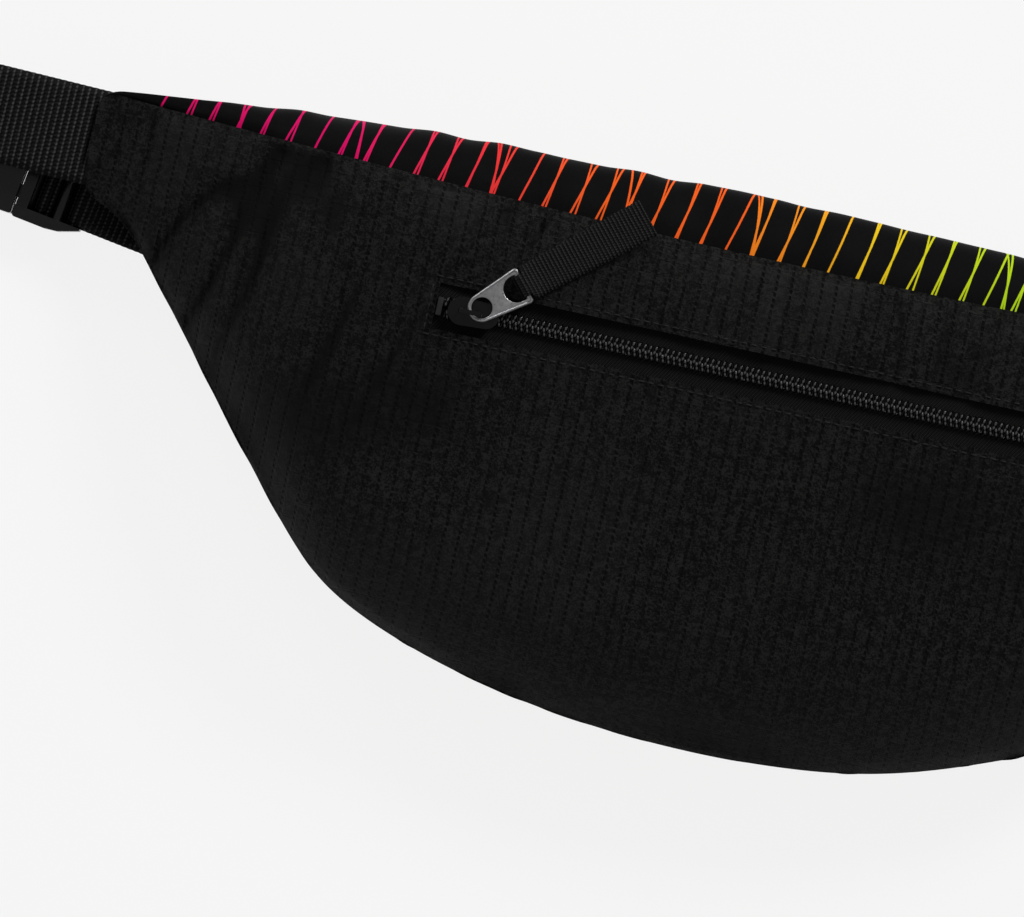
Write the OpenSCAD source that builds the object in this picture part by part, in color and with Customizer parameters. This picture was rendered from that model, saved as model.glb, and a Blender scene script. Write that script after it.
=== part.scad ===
// Waist pack, lying on its front with the back panel up and the closed belt folded under it.
// X runs from wing tip to wing tip, Y towards the top strip, Z up from the surface it lies on.

/* [Pack] */
// Width from wing tip to wing tip
pack_w = 374; // [368:1:380]
// Height of the back panel below the back zipper
belly_drop = 99.4; // [96:0.2:101]
// Height of the back panel's flat middle above the resting surface
pack_depth = 46; // [45:0.5:48]
// Thickness of the outer fabric with its padding
skin_t = 0.8; // [0.7:0.1:0.9]
// Distance that the printed top strip stands out past the back panel
strip_reach = 15.5; // [15:0.5:16.5]

/* [Back zipper] */
// Length of the window that shows the back zipper
window_len = 178; // [172:1:180]
// Height of that window
window_h = 12; // [11:0.5:13]
// Travel of the back slider along its zipper
back_travel = 158; // [140:1:160]

/* [Zipper chain] */
// Width of each row of coil
coil_w = 1.9; // [1.7:0.1:2.0]
// Height of the coil above its tape
coil_h = 1.6; // [1.4:0.1:1.6]
// Thickness of the zipper tape
tape_t = 0.6; // [0.5:0.1:0.6]

/* [Main zipper] */
// Length of the main zipper
main_len = 280; // [276:1:280]
// Length of the top strip's middle, which lifts as the mouth's flap
flap_len = 223.4; // [222:0.2:223.4]

/* [Pulls] */
// Length of the metal puller
puller_len = 16; // [15.9:0.1:16.4]
// Width of the puller's wide end
puller_w = 10; // [9.8:0.1:10.4]
// Width of the ribbon on the puller
ribbon_w = 10; // [9:0.5:10.5]
// Length of the ribbon
ribbon_len = 37; // [32:0.5:37.5]
// Direction of the back puller from the zipper's line, in degrees
puller_yaw = 41; // [38:1:42]

/* [Belt] */
// Width of the belt webbing
web_w = 25.4; // [25:0.1:25.6]
// Thickness of the belt webbing
web_t = 1.5; // [1.4:0.1:1.5]
// Distance from the middle to each end of the folded belt
fold_x = 272; // [270:1:276]
// Slant of the belt's lower run, in degrees
belt_slant = 9; // [8.5:0.5:9]

/* [Buckle] */
// Width of the buckle
buckle_w = 32.6; // [32.2:0.1:33]
// Height of the buckle
buckle_h = 11.2; // [11:0.1:11.4]

/* [Hidden] */
half = pack_w / 2;
body_shift = (belly_drop - 46) / 2;
fine = 32;

// Stations along the pack, close together where the wings curve.
flap_end = 112;
zip_end = main_len / 2;
right_stations = concat(
    [for (i = [0:7]) i * flap_end / 8],
    [for (i = [0:3]) flap_end + i * (zip_end - flap_end) / 4],
    [for (i = [0:11]) zip_end + i * (half - zip_end) / 11]
);
stations = concat(
    [for (i = [len(right_stations) - 1:-1:1]) -right_stations[i]],
    right_stations
);

// Heights
wing_top = 19;
wing_bottom = 15.5;
droop_start = 110;
rise_start = 70;
rest_top = 0.14;
seam_share = 0.62;

// Zipper band on the front: the line of the coil and its slope
band_y = 35.75;
band_z = 17;
band_half = 6;
band_slope = 45;
seam_gap = 0.4;
coil_gap = 0.4;

// Belt levels
run_z = 14.2;
wing_web_z = 17.25;
floor_web_z = web_t / 2;
straight_end = 120;
buckle_x = -185;
buckle_y = 13;
tail_z = 1.75;
strap_z = 3.5;

// Colours
black_cloth = [0.10, 0.10, 0.10];
print_cloth = [0.06, 0.06, 0.07];
lining_cloth = [0.16, 0.16, 0.17];
nylon = [0.05, 0.05, 0.05];
silver = [0.72, 0.72, 0.73];
gunmetal = [0.22, 0.22, 0.23];

function sq(v) = v * v;
function clamp01(v) = min(1, max(0, v));
function smooth(v) = let (c = clamp01(v)) c * c * (3 - 2 * c);
function mix(a, b, k) = a + (b - a) * k;
function soft_max(a, b, k) = (a + b + sqrt(sq(a - b) + k * k)) / 2;
function soft_min(a, b, k) = (a + b - sqrt(sq(a - b) + k * k)) / 2;
function bezier(a, b, c, d, t) =
    let (s = 1 - t) s * s * s * a + 3 * s * s * t * b + 3 * s * t * t * c + t * t * t * d;
function unit(v) = v / norm(v);

// Outline of the back panel, as Y over X
tip_round = 6;
function tip_inset(x) =
    let (d = max(0, abs(x) - half + tip_round)) tip_round - sqrt(max(0, sq(tip_round) - d * d));
function top_seam(x) = 30.5 + 6 * sq(x / half) - 0.6 * tip_inset(x);
function strip_out(x) = strip_reach * pow(max(0, 1 - sq(x / half)), 0.9);
function belly(a) = 0.00165 * sq(a) + 2.5e-8 * sq(a * a) - belly_drop;
function flank(a) = 1.22 * (a - 124.4) - 55.5;
// The right side of the belly rises a little sooner than the left
function belly_x(x) =
    abs(x) + (x > 0 ? 8 * smooth((x - 30) / 50) * (1 - smooth((x - 110) / 60)) : 0);
function wing_edge(x) = 0.35 * (abs(x) - 176) + 6;
function bottom_seam(x) =
    soft_min(soft_max(belly(belly_x(x)), flank(belly_x(x)), 8), wing_edge(x), 3) + tip_inset(x);

// Heights over X
function back_z(x) =
    mix(pack_depth, wing_top, smooth((abs(x) - droop_start) / (half - droop_start)));
function front_z(x) = mix(0, wing_bottom, smooth((abs(x) - rise_start) / (half - rise_start)));
function depth(x) = back_z(x) - front_z(x);

// The four corners of the cross-section at X: top seam, bottom seam, and the band's two edges
function corner_a(x) = [top_seam(x), back_z(x) - rest_top * depth(x)];
function corner_b(x) = [bottom_seam(x), front_z(x) + seam_share * depth(x)];
function band_edge(side) =
    [band_y + side * band_half * cos(band_slope), band_z + side * band_half * sin(band_slope)];
function past_zip(x) = smooth((abs(x) - zip_end) / (half - zip_end));
function corner_c(x) =
    mix(band_edge(-1), [top_seam(x) - 4, front_z(x) + 0.2 * depth(x)], past_zip(x));
function corner_d(x) =
    mix(band_edge(1), [top_seam(x), front_z(x) + 0.5 * depth(x)], past_zip(x));

// The back panel rolls over at both seams and is flat between
function roll(d, w) = let (r = clamp01(d / w)) 1 - sq(1 - r);
function back_curve(x, s) =
    let (a = corner_a(x), b = corner_b(x), h = a[0] - b[0], y = mix(a[0], b[0], s))
    s < 0.3
        ? [y, mix(a[1], back_z(x), roll(a[0] - y, min(22, 0.3 * h)))]
        : [y, mix(b[1], back_z(x), roll(y - b[0], min(35, 0.4 * h)))];

// The front falls from the bottom seam to a flat rest, then rises to the zipper band
function front_curve(x, s) =
    let (
        b = corner_b(x),
        c = corner_c(x),
        h = corner_a(x)[0] - b[0],
        z = front_z(x),
        f1 = [b[0] + 0.18 * h, z],
        f2 = [b[0] + 0.40 * h, z]
    )
    s < 0.4
        ? bezier(b, [b[0], mix(b[1], z, 0.6)], [b[0] + 0.05 * h, z], f1, s / 0.4)
        : s < 0.55
        ? mix(f1, f2, (s - 0.4) / 0.15)
        : bezier(f2, [b[0] + 0.56 * h, z], [c[0] - 0.22 * h, mix(z, c[1], 0.36)], c, (s - 0.55) / 0.45);

function strip_curve(x, s) =
    let (
        a = corner_a(x),
        d = corner_d(x),
        out = (8 * (a[0] + strip_out(x)) - a[0] - d[0]) / 6
    )
    bezier(d, [out, mix(d[1], a[1], 0.2)], [out, mix(d[1], a[1], 0.7)], a, s);

// One closed curve: 0 to 1 back, 1 to 2 front, 2 to 3 zipper band, 3 to 4 top strip
function section(x, u) =
    let (v = (u + 4) % 4)
    v < 1 ? back_curve(x, v)
    : v < 2 ? front_curve(x, v - 1)
    : v < 3 ? mix(corner_c(x), corner_d(x), v - 2)
    : strip_curve(x, v - 3);

function outward(x, u) =
    let (
        e = 0.004,
        p = section(x, u),
        before = unit(p - section(x, u - e)),
        after = unit(section(x, u + e) - p),
        t = unit(before + after)
    )
    [t[1], -t[0]] * -1;

function skin_point(x, u, inset) = let (p = section(x, u) + outward(x, u) * inset) [x, p[0], p[1]];

// A sheet of cloth between two depths below the outer surface
module sheet(xs, us, outer, inner) {
    n = len(xs);
    m = len(us);
    top = [for (x = xs, u = us) skin_point(x, u, outer)];
    low = [for (x = xs, u = us) skin_point(x, u, inner)];
    closed_sheet(top, low, n, m);
}

// Closes two matching grids of n rows and m columns into one solid
module closed_sheet(top, low, n, m) {
    k = n * m;
    faces = concat(
        [for (i = [0:n - 2], j = [0:m - 2]) each [
            [i * m + j, i * m + j + 1, (i + 1) * m + j + 1],
            [i * m + j, (i + 1) * m + j + 1, (i + 1) * m + j],
            [k + i * m + j, k + (i + 1) * m + j + 1, k + i * m + j + 1],
            [k + i * m + j, k + (i + 1) * m + j, k + (i + 1) * m + j + 1]
        ]],
        [for (i = [0:n - 2]) each [
            [i * m, (i + 1) * m, k + (i + 1) * m],
            [i * m, k + (i + 1) * m, k + i * m],
            [i * m + m - 1, k + (i + 1) * m + m - 1, (i + 1) * m + m - 1],
            [i * m + m - 1, k + i * m + m - 1, k + (i + 1) * m + m - 1]
        ]],
        [for (j = [0:m - 2]) each [
            [j, k + j + 1, j + 1],
            [j, k + j, k + j + 1],
            [(n - 1) * m + j, (n - 1) * m + j + 1, k + (n - 1) * m + j + 1],
            [(n - 1) * m + j, k + (n - 1) * m + j + 1, k + (n - 1) * m + j]
        ]]
    );
    polyhedron(concat(top, low), faces, convexity = 8);
}

function within(low, high) = [for (x = stations) if (x >= low - 0.01 && x <= high + 0.01) x];
function clip_ends(xs, gap) =
    [for (i = [0:len(xs) - 1]) i == 0 ? xs[0] + gap : i == len(xs) - 1 ? xs[i] - gap : xs[i]];

back_us = [0, 0.04, 0.08, 0.12, 0.17, 0.3, 0.45, 0.6, 0.68, 0.76, 0.83, 0.9, 0.95, 1];
front_us = [1, 1.05, 1.11, 1.17, 1.24, 1.32, 1.4, 1.55, 1.62, 1.69, 1.76, 1.84, 1.92, 2];
strip_us = [3, 3.15, 3.32, 3.5, 3.68, 3.85, 4];

module back_panel() {
    color(black_cloth)
    difference() {
        sheet(stations, back_us, 0, skin_t);
        translate([-window_len / 2, -window_h / 2, pack_depth - 3]) cube([window_len, window_h, 6]);
    }
}

module front_panel() {
    color(print_cloth) sheet(stations, front_us, 0, skin_t);
}

// The ends stop just short of 4 on the flap, which turns against the back panel's seam
flap_us = [for (u = strip_us) min(3.985, u)];
module top_strip_left() {
    color(print_cloth) sheet(within(-half, -flap_end), strip_us, 0, skin_t);
}
module top_strip_middle() {
    color(print_cloth)
    sheet(clip_ends(within(-flap_end, flap_end), (2 * flap_end - flap_len) / 2), flap_us, 0, skin_t);
}
module top_strip_right() {
    color(print_cloth) sheet(within(flap_end, half), strip_us, 0, skin_t);
}

module zip_end_tabs() {
    tab_us = [2, 2.25, 2.5, 2.75, 3];
    color(print_cloth) {
        sheet(within(-half, -zip_end), tab_us, 0, skin_t);
        sheet(within(zip_end, half), tab_us, 0, skin_t);
    }
}

// Linings inside the pack
lining_start = 1.1;
lining_end = 1.5;
lining_xs = [for (i = [-12:12]) i * 14];
module main_lining() {
    us = [1.04, 1.11, 1.18, 1.27, 1.4, 1.55, 1.68, 1.8, 1.9, 1.97];
    color(lining_cloth) sheet(lining_xs, us, lining_start, lining_end);
}

pocket_reach = 160;
function pocket_sag(x, s) =
    lining_start + 6 * sin(180 * s) * smooth((pocket_reach - abs(x)) / 45);
module pocket_lining() {
    xs = [for (i = [-16:16]) i * 10];
    us = [0.04, 0.1, 0.17, 0.25, 0.35, 0.5, 0.65, 0.78, 0.88, 0.95];
    top = [for (x = xs, u = us) skin_point(x, u, pocket_sag(x, u))];
    low = [for (x = xs, u = us) skin_point(x, u, pocket_sag(x, u) + 0.4)];
    color(lining_cloth) closed_sheet(top, low, len(xs), len(us));
}

module strip_lining() {
    xs = [for (i = [-7:7]) i * 15.5];
    color(lining_cloth) sheet(xs, [3.12, 3.35, 3.6, 3.8, 3.93], lining_start, lining_end);
}

// A small open pocket sewn to the main lining
module inner_slip_pocket() {
    xs = [for (i = [-5:5]) i * 11];
    us = [1.43, 1.5, 1.58, 1.66, 1.74];
    color(lining_cloth) sheet(xs, us, 1.9, 2.3);
}

// Folded tape that covers the raw edges of the bottom seam inside
module hem_binding() {
    xs = [for (i = [-16:16]) i * 10];
    color(nylon) sheet(xs, [0.965, 0.985, 1.02], 1.7, 2.4);
}

// Zipper parts in the chain's own frame: X along it, Y across, Z out of the tape's face
module tape(x1, x2, side, reach) {
    translate([x1, side > 0 ? coil_gap : -reach, -tape_t]) cube([x2 - x1, reach - coil_gap, tape_t]);
}
module coil(x1, x2, side) {
    translate([x1, side > 0 ? coil_gap : -coil_gap - coil_w, 0.02])
    rotate([90, 0, 90])
    linear_extrude(x2 - x1)
    polygon([
        [0, 0], [coil_w, 0], [coil_w, coil_h * 0.6], [coil_w * 0.8, coil_h * 0.9],
        [coil_w * 0.5, coil_h], [coil_w * 0.2, coil_h * 0.9], [0, coil_h * 0.6]
    ]);
}
// A crimped clip that closes the chain's end, on the tape's face
module end_stop() {
    translate([-0.75, -2.4, 0.02]) cube([1.5, 4.8, 1.7]);
}

// Sliders
slider_wide = 3.75;
slider_narrow = 3.35;
slider_front = -3;
slider_back = 3.4;
plate_t = 1;
plate_z = 2.1;
bail_w = 1.2;
module slider_plate(t) {
    linear_extrude(t)
    hull() {
        translate([slider_front, 0]) circle(slider_wide, $fn = fine);
        translate([slider_back, 0]) circle(slider_narrow, $fn = fine);
    }
}
module bail() {
    rotate([90, 0, 0])
    linear_extrude(bail_w, center = true)
    difference() {
        union() {
            square([6.2, 2.6]);
            translate([1.2, 2.6]) circle(1.2, $fn = fine);
            translate([5, 2.6]) circle(1.2, $fn = fine);
            translate([1.2, 2]) square([3.8, 1.8]);
        }
        translate([0.8, -0.1]) square([4.6, 2.7]);
    }
}
// The post runs in the gap between the two coils
module slider() {
    translate([0, 0, plate_z]) slider_plate(plate_t);
    translate([0, 0, -tape_t - 0.4 - plate_t]) slider_plate(plate_t);
    for (side = [-1, 1])
        translate([-2, side > 0 ? 2.75 : -3.35, 0.4]) cube([6, 0.6, plate_z - 0.2]);
    translate([slider_front - 2.6, -0.2, -tape_t - 0.8]) cube([1.6, 0.4, plate_z + 1.6]);
    translate([bail_x, 0, plate_z + plate_t - 0.1]) bail();
}
bail_x = -3.9;
pivot_x = -0.3;
pivot_z = plate_z + plate_t + 1.2;

// Puller in its own frame: the hinge line is Y through the origin
ring_r = 3.7;
puller_t = 1.2;
bar_w = 1.3;
eye_r = 2.75;
eye_x = ring_r - 0.85;
window_x = puller_len - 2.8;
window_r = 3.55;
module puller() {
    translate([0, 0, -puller_t / 2])
    difference() {
        linear_extrude(puller_t)
        hull() {
            translate([eye_x, 0]) circle(ring_r, $fn = fine);
            for (side = [-1, 1])
                translate([puller_len - 1.3, side * (puller_w / 2 - 1)]) circle(1, $fn = fine);
        }
        translate([eye_x, 0, -1]) cylinder(h = 4, r = eye_r, $fn = fine);
        intersection() {
            translate([window_x, 0, -1]) cylinder(h = 4, r = window_r, $fn = fine);
            translate([0, -5, -1]) cube([puller_len - 0.3 - bar_w, 10, 4]);
        }
    }
}
bar_x = puller_len - 0.3 - bar_w / 2;

// Ribbon folded round the puller's end bar, in a frame with its hinge line through the bar
loop_r = 1.15;
ply_t = 0.75;
module ribbon_side() {
    difference() {
        hull() {
            circle(loop_r + ply_t, $fn = fine);
            translate([4.5, -ply_t]) square([0.5, 2 * ply_t]);
        }
        circle(loop_r, $fn = fine);
        polygon([[0, loop_r], [0, -loop_r], [3.4, 0]]);
    }
}
module ribbon() {
    rotate([90, 0, 0]) {
        linear_extrude(2 * window_r - 0.9, center = true) ribbon_side();
        linear_extrude(ribbon_w, center = true)
        intersection() {
            ribbon_side();
            translate([1.6, -3]) square([4, 6]);
        }
        translate([4.9, -ply_t, -ribbon_w / 2]) cube([ribbon_len - 4.9, 2 * ply_t, ribbon_w]);
    }
}

// Places for the two zippers
module on_back_zip(x = 0) {
    translate([x, 0, pack_depth - skin_t - 0.4]) children();
}
module on_main_zip(x = 0) {
    translate([x, band_y, band_z]) rotate([band_slope + 180, 0, 0]) children();
}
back_chain = window_len / 2 + 2;
back_slider_x = -79;
module back_zip_tape_upper() { color(nylon) on_back_zip() tape(-back_chain, back_chain, 1, 9); }
module back_zip_tape_lower() { color(nylon) on_back_zip() tape(-back_chain, back_chain, -1, 9); }
back_coil = window_len / 2 - 1.95;
module back_zip_coil_upper() { color(nylon) on_back_zip() coil(-back_coil, back_coil, 1); }
module back_zip_coil_lower() { color(nylon) on_back_zip() coil(-back_coil, back_coil, -1); }
module back_zip_stops() {
    color(nylon) for (side = [-1, 1]) on_back_zip(side * (back_coil + 0.9)) end_stop();
}

main_reach = band_half - seam_gap;
main_slider_x = -130;
flap_half = flap_len / 2;
module main_zip_tape_lower() { color(nylon) on_main_zip() tape(-zip_end, zip_end, 1, main_reach); }
module main_zip_tape_upper() { color(nylon) on_main_zip() tape(-flap_half, flap_half, -1, main_reach); }
module main_zip_tape_upper_ends() {
    color(nylon) on_main_zip() {
        tape(-zip_end, -flap_end, -1, main_reach);
        tape(flap_end, zip_end, -1, main_reach);
    }
}
coil_end = zip_end - 3;
module main_zip_coil_lower() { color(nylon) on_main_zip() coil(-coil_end, coil_end, 1); }
module main_zip_coil_upper() { color(nylon) on_main_zip() coil(-flap_half, flap_half, -1); }
module main_zip_coil_upper_ends() {
    color(nylon) on_main_zip() {
        coil(-coil_end, -flap_end, -1);
        coil(flap_end, coil_end, -1);
    }
}
module main_zip_stops() {
    color(nylon) for (side = [-1, 1]) on_main_zip(side * (coil_end + 1)) end_stop();
}

puller_tilt = 3;
module at_back_pivot() {
    on_back_zip(back_slider_x)
    translate([pivot_x, 0, pivot_z])
    rotate([0, 0, puller_yaw])
    rotate([0, puller_tilt, 0])
    children();
}
// The main puller points away from the flap and droops a little towards the surface
main_pivot_x = -1.3;
main_yaw = 171;
module at_main_pivot() {
    on_main_zip(main_slider_x)
    translate([main_pivot_x, 0, pivot_z])
    rotate([0, 0, main_yaw])
    children();
}
module back_slider() { color(gunmetal) on_back_zip(back_slider_x) slider(); }
module back_puller() { color(silver) at_back_pivot() puller(); }
module back_ribbon() { color(nylon) at_back_pivot() translate([bar_x, 0, 0]) ribbon(); }
module main_slider() { color(gunmetal) on_main_zip(main_slider_x) slider(); }
module main_puller() { color(silver) at_main_pivot() puller(); }
module main_ribbon() { color(nylon) at_main_pivot() translate([bar_x, 0, 0]) ribbon(); }

// Belt. Its lower run is straight and slanted near both ends, with a wide arc under the pack
belt_slope = tan(belt_slant);
function run_y(x) =
    let (a = abs(x))
    a >= straight_end
        ? buckle_y + (a + buckle_x) * belt_slope
        : run_y(straight_end) - belt_slope * (sq(straight_end) - sq(a)) / (2 * straight_end);
function run_angle(x) = (x < 0 ? -1 : 1) * atan(belt_slope * min(1, abs(x) / straight_end));
upper_slope = 0.026;
function upper_y(x) = 24 + (abs(x) - half) * upper_slope;
upper_angle = atan(upper_slope);

// A strip of webbing through points [x, y, z, angle of its line in plan]
module webbing(path, w, t) {
    n = len(path);
    rings = [for (i = [0:n - 1])
        let (
            p = path[i],
            a = path[max(0, i - 1)],
            b = path[min(n - 1, i + 1)],
            along = unit([b[0] - a[0], b[1] - a[1], b[2] - a[2]]),
            side = [-sin(p[3]), cos(p[3]), 0],
            up = unit(cross(along, side)),
            c = [p[0], p[1], p[2]]
        )
        each [
            c + side * w / 2 + up * t / 2,
            c - side * w / 2 + up * t / 2,
            c - side * w / 2 - up * t / 2,
            c + side * w / 2 - up * t / 2
        ]
    ];
    faces = concat(
        [[0, 1, 2], [0, 2, 3]],
        [for (i = [0:n - 2], j = [0:3]) each [
            [4 * i + j, 4 * (i + 1) + j, 4 * i + (j + 1) % 4],
            [4 * i + (j + 1) % 4, 4 * (i + 1) + j, 4 * (i + 1) + (j + 1) % 4]
        ]],
        let (k = 4 * (n - 1)) [[k, k + 2, k + 1], [k, k + 3, k + 2]]
    );
    polyhedron(rings, faces, convexity = 6);
}

web_start = 175;
// Where a fold's half turn begins, so that both ends of the belt reach equally far
function turn_x(low_z) = fold_x - web_t / 2 - (run_z - low_z) / 2;
// Upper run from inside a wing out to the fold. side is -1 on the left and 1 on the right
function upper_run(side, low_z) = [
    for (i = [0:8])
        let (a = mix(web_start, turn_x(low_z), i / 8))
        [
            side * a, upper_y(a), mix(wing_web_z, run_z, smooth((a - half) / 50)),
            side * upper_angle
        ]
];
// Half turn at the fold, from the upper run down to a lower run at height low_z
function fold_turn(side, low_z) = [
    for (i = [1:9])
        let (k = i / 10, r = (run_z - low_z) / 2, a = turn_x(low_z))
        [
            side * (a + r * sin(180 * k)), mix(upper_y(a), run_y(a), k),
            (run_z + low_z) / 2 + r * cos(180 * k),
            side * mix(upper_angle, belt_slant, smooth(k))
        ]
];

// Buckle frame: X along the lower run with 0 at the plug's outer end, Z up from the surface
module at_buckle() {
    translate([buckle_x, buckle_y, 0]) rotate([0, 0, -belt_slant]) children();
}
function from_buckle(x, z) = [
    buckle_x + x * cos(belt_slant), buckle_y - x * sin(belt_slant), z, -belt_slant
];

// Short belt: left wing, fold, then a loop round the socket's bar with its end sewn back
bar_centre = [-59.4, 6];
wrap_r = 2.4;
short_low_z = 3.1;
end_ply_z = 0.95;
module belt_short() {
    path = concat(
        upper_run(-1, short_low_z),
        fold_turn(-1, short_low_z),
        [from_buckle(-78, short_low_z), from_buckle(-70, short_low_z + 0.2), from_buckle(-66, 4.4)],
        [for (i = [0:8])
            let (a = 130 - i * 32)
            from_buckle(bar_centre[0] + wrap_r * cos(a), bar_centre[1] + wrap_r * sin(a))],
        [from_buckle(-63.5, 1.9), from_buckle(-67, end_ply_z), from_buckle(-78, end_ply_z)]
    );
    color(nylon) webbing(path, web_w, web_t);
}

// Long belt: right wing, fold, under the pack, to where it meets the adjuster's webbing
join_x = 16;
function low_level(x) = mix(strap_z, floor_web_z, smooth((x + straight_end) / 14));
module belt_long() {
    a = turn_x(floor_web_z);
    start = [for (x = [a - 8:-20:-100]) [x, run_y(x), floor_web_z, run_angle(x)]];
    ramp = [for (x = [-106:-5:-126]) [x, run_y(x), low_level(x), run_angle(x)]];
    path = concat(
        upper_run(1, floor_web_z),
        fold_turn(1, floor_web_z),
        [[a, run_y(a), floor_web_z, belt_slant]],
        start,
        ramp,
        [from_buckle(join_x, strap_z)]
    );
    color(nylon) webbing(path, web_w, web_t);
}

// Webbing threaded through the plug: over its end bar, under the middle bar, back as the tail
tail_end = 62;
module adjuster_webbing() {
    profile = [
        [join_x - 0.5, strap_z], [10, 4], [5, 6], [2.4, 7.9], [0.6, 8.7], [-1.3, 8],
        [-2.6, 5.9], [-4.2, 4.9], [-6, 5.6], [-7.2, 7.1], [-8.6, 7.9], [-10.5, 7.2],
        [-11.3, 5.2], [-10.6, 3.1], [-8.6, 2], [-5, tail_z], [6, tail_z], [20, tail_z],
        [40, tail_z], [tail_end, tail_z]
    ];
    color(nylon) webbing([for (p = profile) from_buckle(p[0], p[1])], web_w, web_t);
}

// Elastic loop that holds the tail against the belt
keeper_x = 20;
keeper_l = 12;
keeper_t = 0.5;
module strap_keeper() {
    inner_w = web_w + 1;
    low = tail_z - web_t / 2 - 0.2;
    high = strap_z + web_t / 2 + 0.3;
    color(nylon)
    at_buckle()
    translate([keeper_x, 0, 0])
    rotate([90, 0, 90])
    linear_extrude(keeper_l)
    difference() {
        translate([-inner_w / 2 - keeper_t, low - keeper_t])
            square([inner_w + 2 * keeper_t, high - low + 2 * keeper_t]);
        translate([-inner_w / 2, low]) square([inner_w, high - low]);
    }
}

// Socket half of the buckle
mouth_x = -16.7;
socket_back = -61.4;
cavity_y = 12.95;
cavity_low = 2.6;
cavity_high = 8.8;
module socket_outline() {
    waist = buckle_w / 2 - 1.8;
    edge = buckle_w / 2;
    polygon([
        [mouth_x, -edge + 0.4], [mouth_x - 7, -edge], [mouth_x - 11, -waist],
        [mouth_x - 24, -waist], [mouth_x - 29, -edge], [socket_back + 2.5, -edge],
        [socket_back, -edge + 2.5], [socket_back, edge - 2.5], [socket_back + 2.5, edge],
        [mouth_x - 29, edge], [mouth_x - 24, waist], [mouth_x - 11, waist],
        [mouth_x - 7, edge], [mouth_x, edge - 0.4]
    ]);
}
module buckle_socket() {
    bar_r = 1.5;
    slot_w = web_w + 1;
    color(nylon)
    at_buckle() {
        difference() {
            translate([0, 0, 0.3]) linear_extrude(buckle_h - 0.3) socket_outline();
            translate([mouth_x - 28, -cavity_y, cavity_low])
                cube([29, 2 * cavity_y, cavity_high - cavity_low]);
            for (side = [-1, 1])
                translate([mouth_x - 24.5, side > 0 ? 11 : -20, 1.6]) cube([12.5, 9, buckle_h - 3]);
            translate([-57.5, -slot_w / 2, -1]) cube([5.4, slot_w, buckle_h + 4]);
            translate([socket_back - 1, -slot_w / 2, -1])
                cube([socket_back * -1 - 57.4 + 1, slot_w, buckle_h + 4]);
            translate([socket_back - 1, -20, 9.6]) cube([9, 40, 4]);
        }
        translate([bar_centre[0], slot_w / 2 + 0.2, bar_centre[1]])
            rotate([90, 0, 0])
            cylinder(h = slot_w + 0.4, r = bar_r, $fn = fine);
    }
}

// Plug half of the buckle, with the ladder frame that adjusts the belt
rail_in = 13.1;
hinge_x = -19.6;
hinge_y = 9.4;
module plug_rail(side) {
    edge = buckle_w / 2;
    mirror([0, side > 0 ? 0 : 1, 0])
    translate([0, 0, 1.2])
    linear_extrude(8.6)
    polygon([
        [-16.4, rail_in], [2, rail_in], [2, edge - 2.6], [-0.6, edge - 1.6],
        [-3.4, edge - 0.5], [-7, edge], [-15.6, edge], [-16.4, edge - 0.6]
    ]);
}
module cross_bar(x, z, r) {
    translate([x, rail_in + 0.5, z])
    rotate([90, 0, 0])
    cylinder(h = 2 * rail_in + 1, r = r, $fn = fine);
}
module buckle_plug() {
    stub_w = 3.6;
    color(nylon)
    at_buckle() {
        for (side = [-1, 1]) plug_rail(side);
        cross_bar(0.3, 6.1, 1.4);
        cross_bar(-4.6, 8.1, 1.5);
        cross_bar(-8.7, 5.1, 1.6);
        translate([-16.2, -rail_in - 0.3, 2.9]) cube([3.2, 2 * rail_in + 0.6, 5.7]);
        translate([-16.2, -rail_in - 0.3, 0.1]) cube([6.2, 2 * rail_in + 0.6, 0.55]);
        translate([-16.2, -rail_in - 0.3, 0.5]) cube([1.5, 2 * rail_in + 0.6, 2.6]);
        translate([-40, -1.6, 4.2]) cube([24, 3.2, 3]);
        difference() {
            for (side = [-1, 1])
                translate([hinge_x, side * hinge_y - stub_w / 2, 3.1]) cube([3.9, stub_w, 5.2]);
            for (side = [-1, 1])
                translate([hinge_x, side * hinge_y, 0]) cylinder(h = 12, r = 1.28, $fn = fine);
        }
    }
}

// Spring arm of the plug with its press pad, on the +Y side in the buckle's frame
module prong(side) {
    color(nylon)
    at_buckle()
    mirror([0, side > 0 ? 0 : 1, 0])
    translate([0, 0, 3.3]) {
        translate([hinge_x, hinge_y, 0]) cylinder(h = 4.8, r = 1.2, $fn = fine);
        linear_extrude(4.8)
        polygon([
            [hinge_x - 0.5, hinge_y - 0.9], [hinge_x - 0.5, hinge_y + 0.9], [-28.4, 10.6],
            [-29, 12.7], [-40.6, 12.7], [-42.8, 9.4], [-42.4, 8.2], [-39, 8.6], [-30, 8.4]
        ]);
    }
}
module buckle_prong_upper() { prong(1); }
module buckle_prong_lower() { prong(-1); }

module placed() { translate([0, body_shift, 0]) children(); }

placed() back_panel();
placed() front_panel();
placed() top_strip_left();
placed() top_strip_middle();
placed() top_strip_right();
placed() zip_end_tabs();
placed() main_lining();
placed() pocket_lining();
placed() strip_lining();
placed() inner_slip_pocket();
placed() hem_binding();
placed() back_zip_tape_upper();
placed() back_zip_tape_lower();
placed() back_zip_coil_upper();
placed() back_zip_coil_lower();
placed() back_zip_stops();
placed() main_zip_tape_lower();
placed() main_zip_tape_upper();
placed() main_zip_tape_upper_ends();
placed() main_zip_coil_lower();
placed() main_zip_coil_upper();
placed() main_zip_coil_upper_ends();
placed() main_zip_stops();
placed() back_slider();
placed() back_puller();
placed() back_ribbon();
placed() main_slider();
placed() main_puller();
placed() main_ribbon();
placed() belt_short();
placed() belt_long();
placed() adjuster_webbing();
placed() strap_keeper();
placed() buckle_socket();
placed() buckle_plug();
placed() buckle_prong_upper();
placed() buckle_prong_lower();
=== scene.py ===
import math

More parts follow.
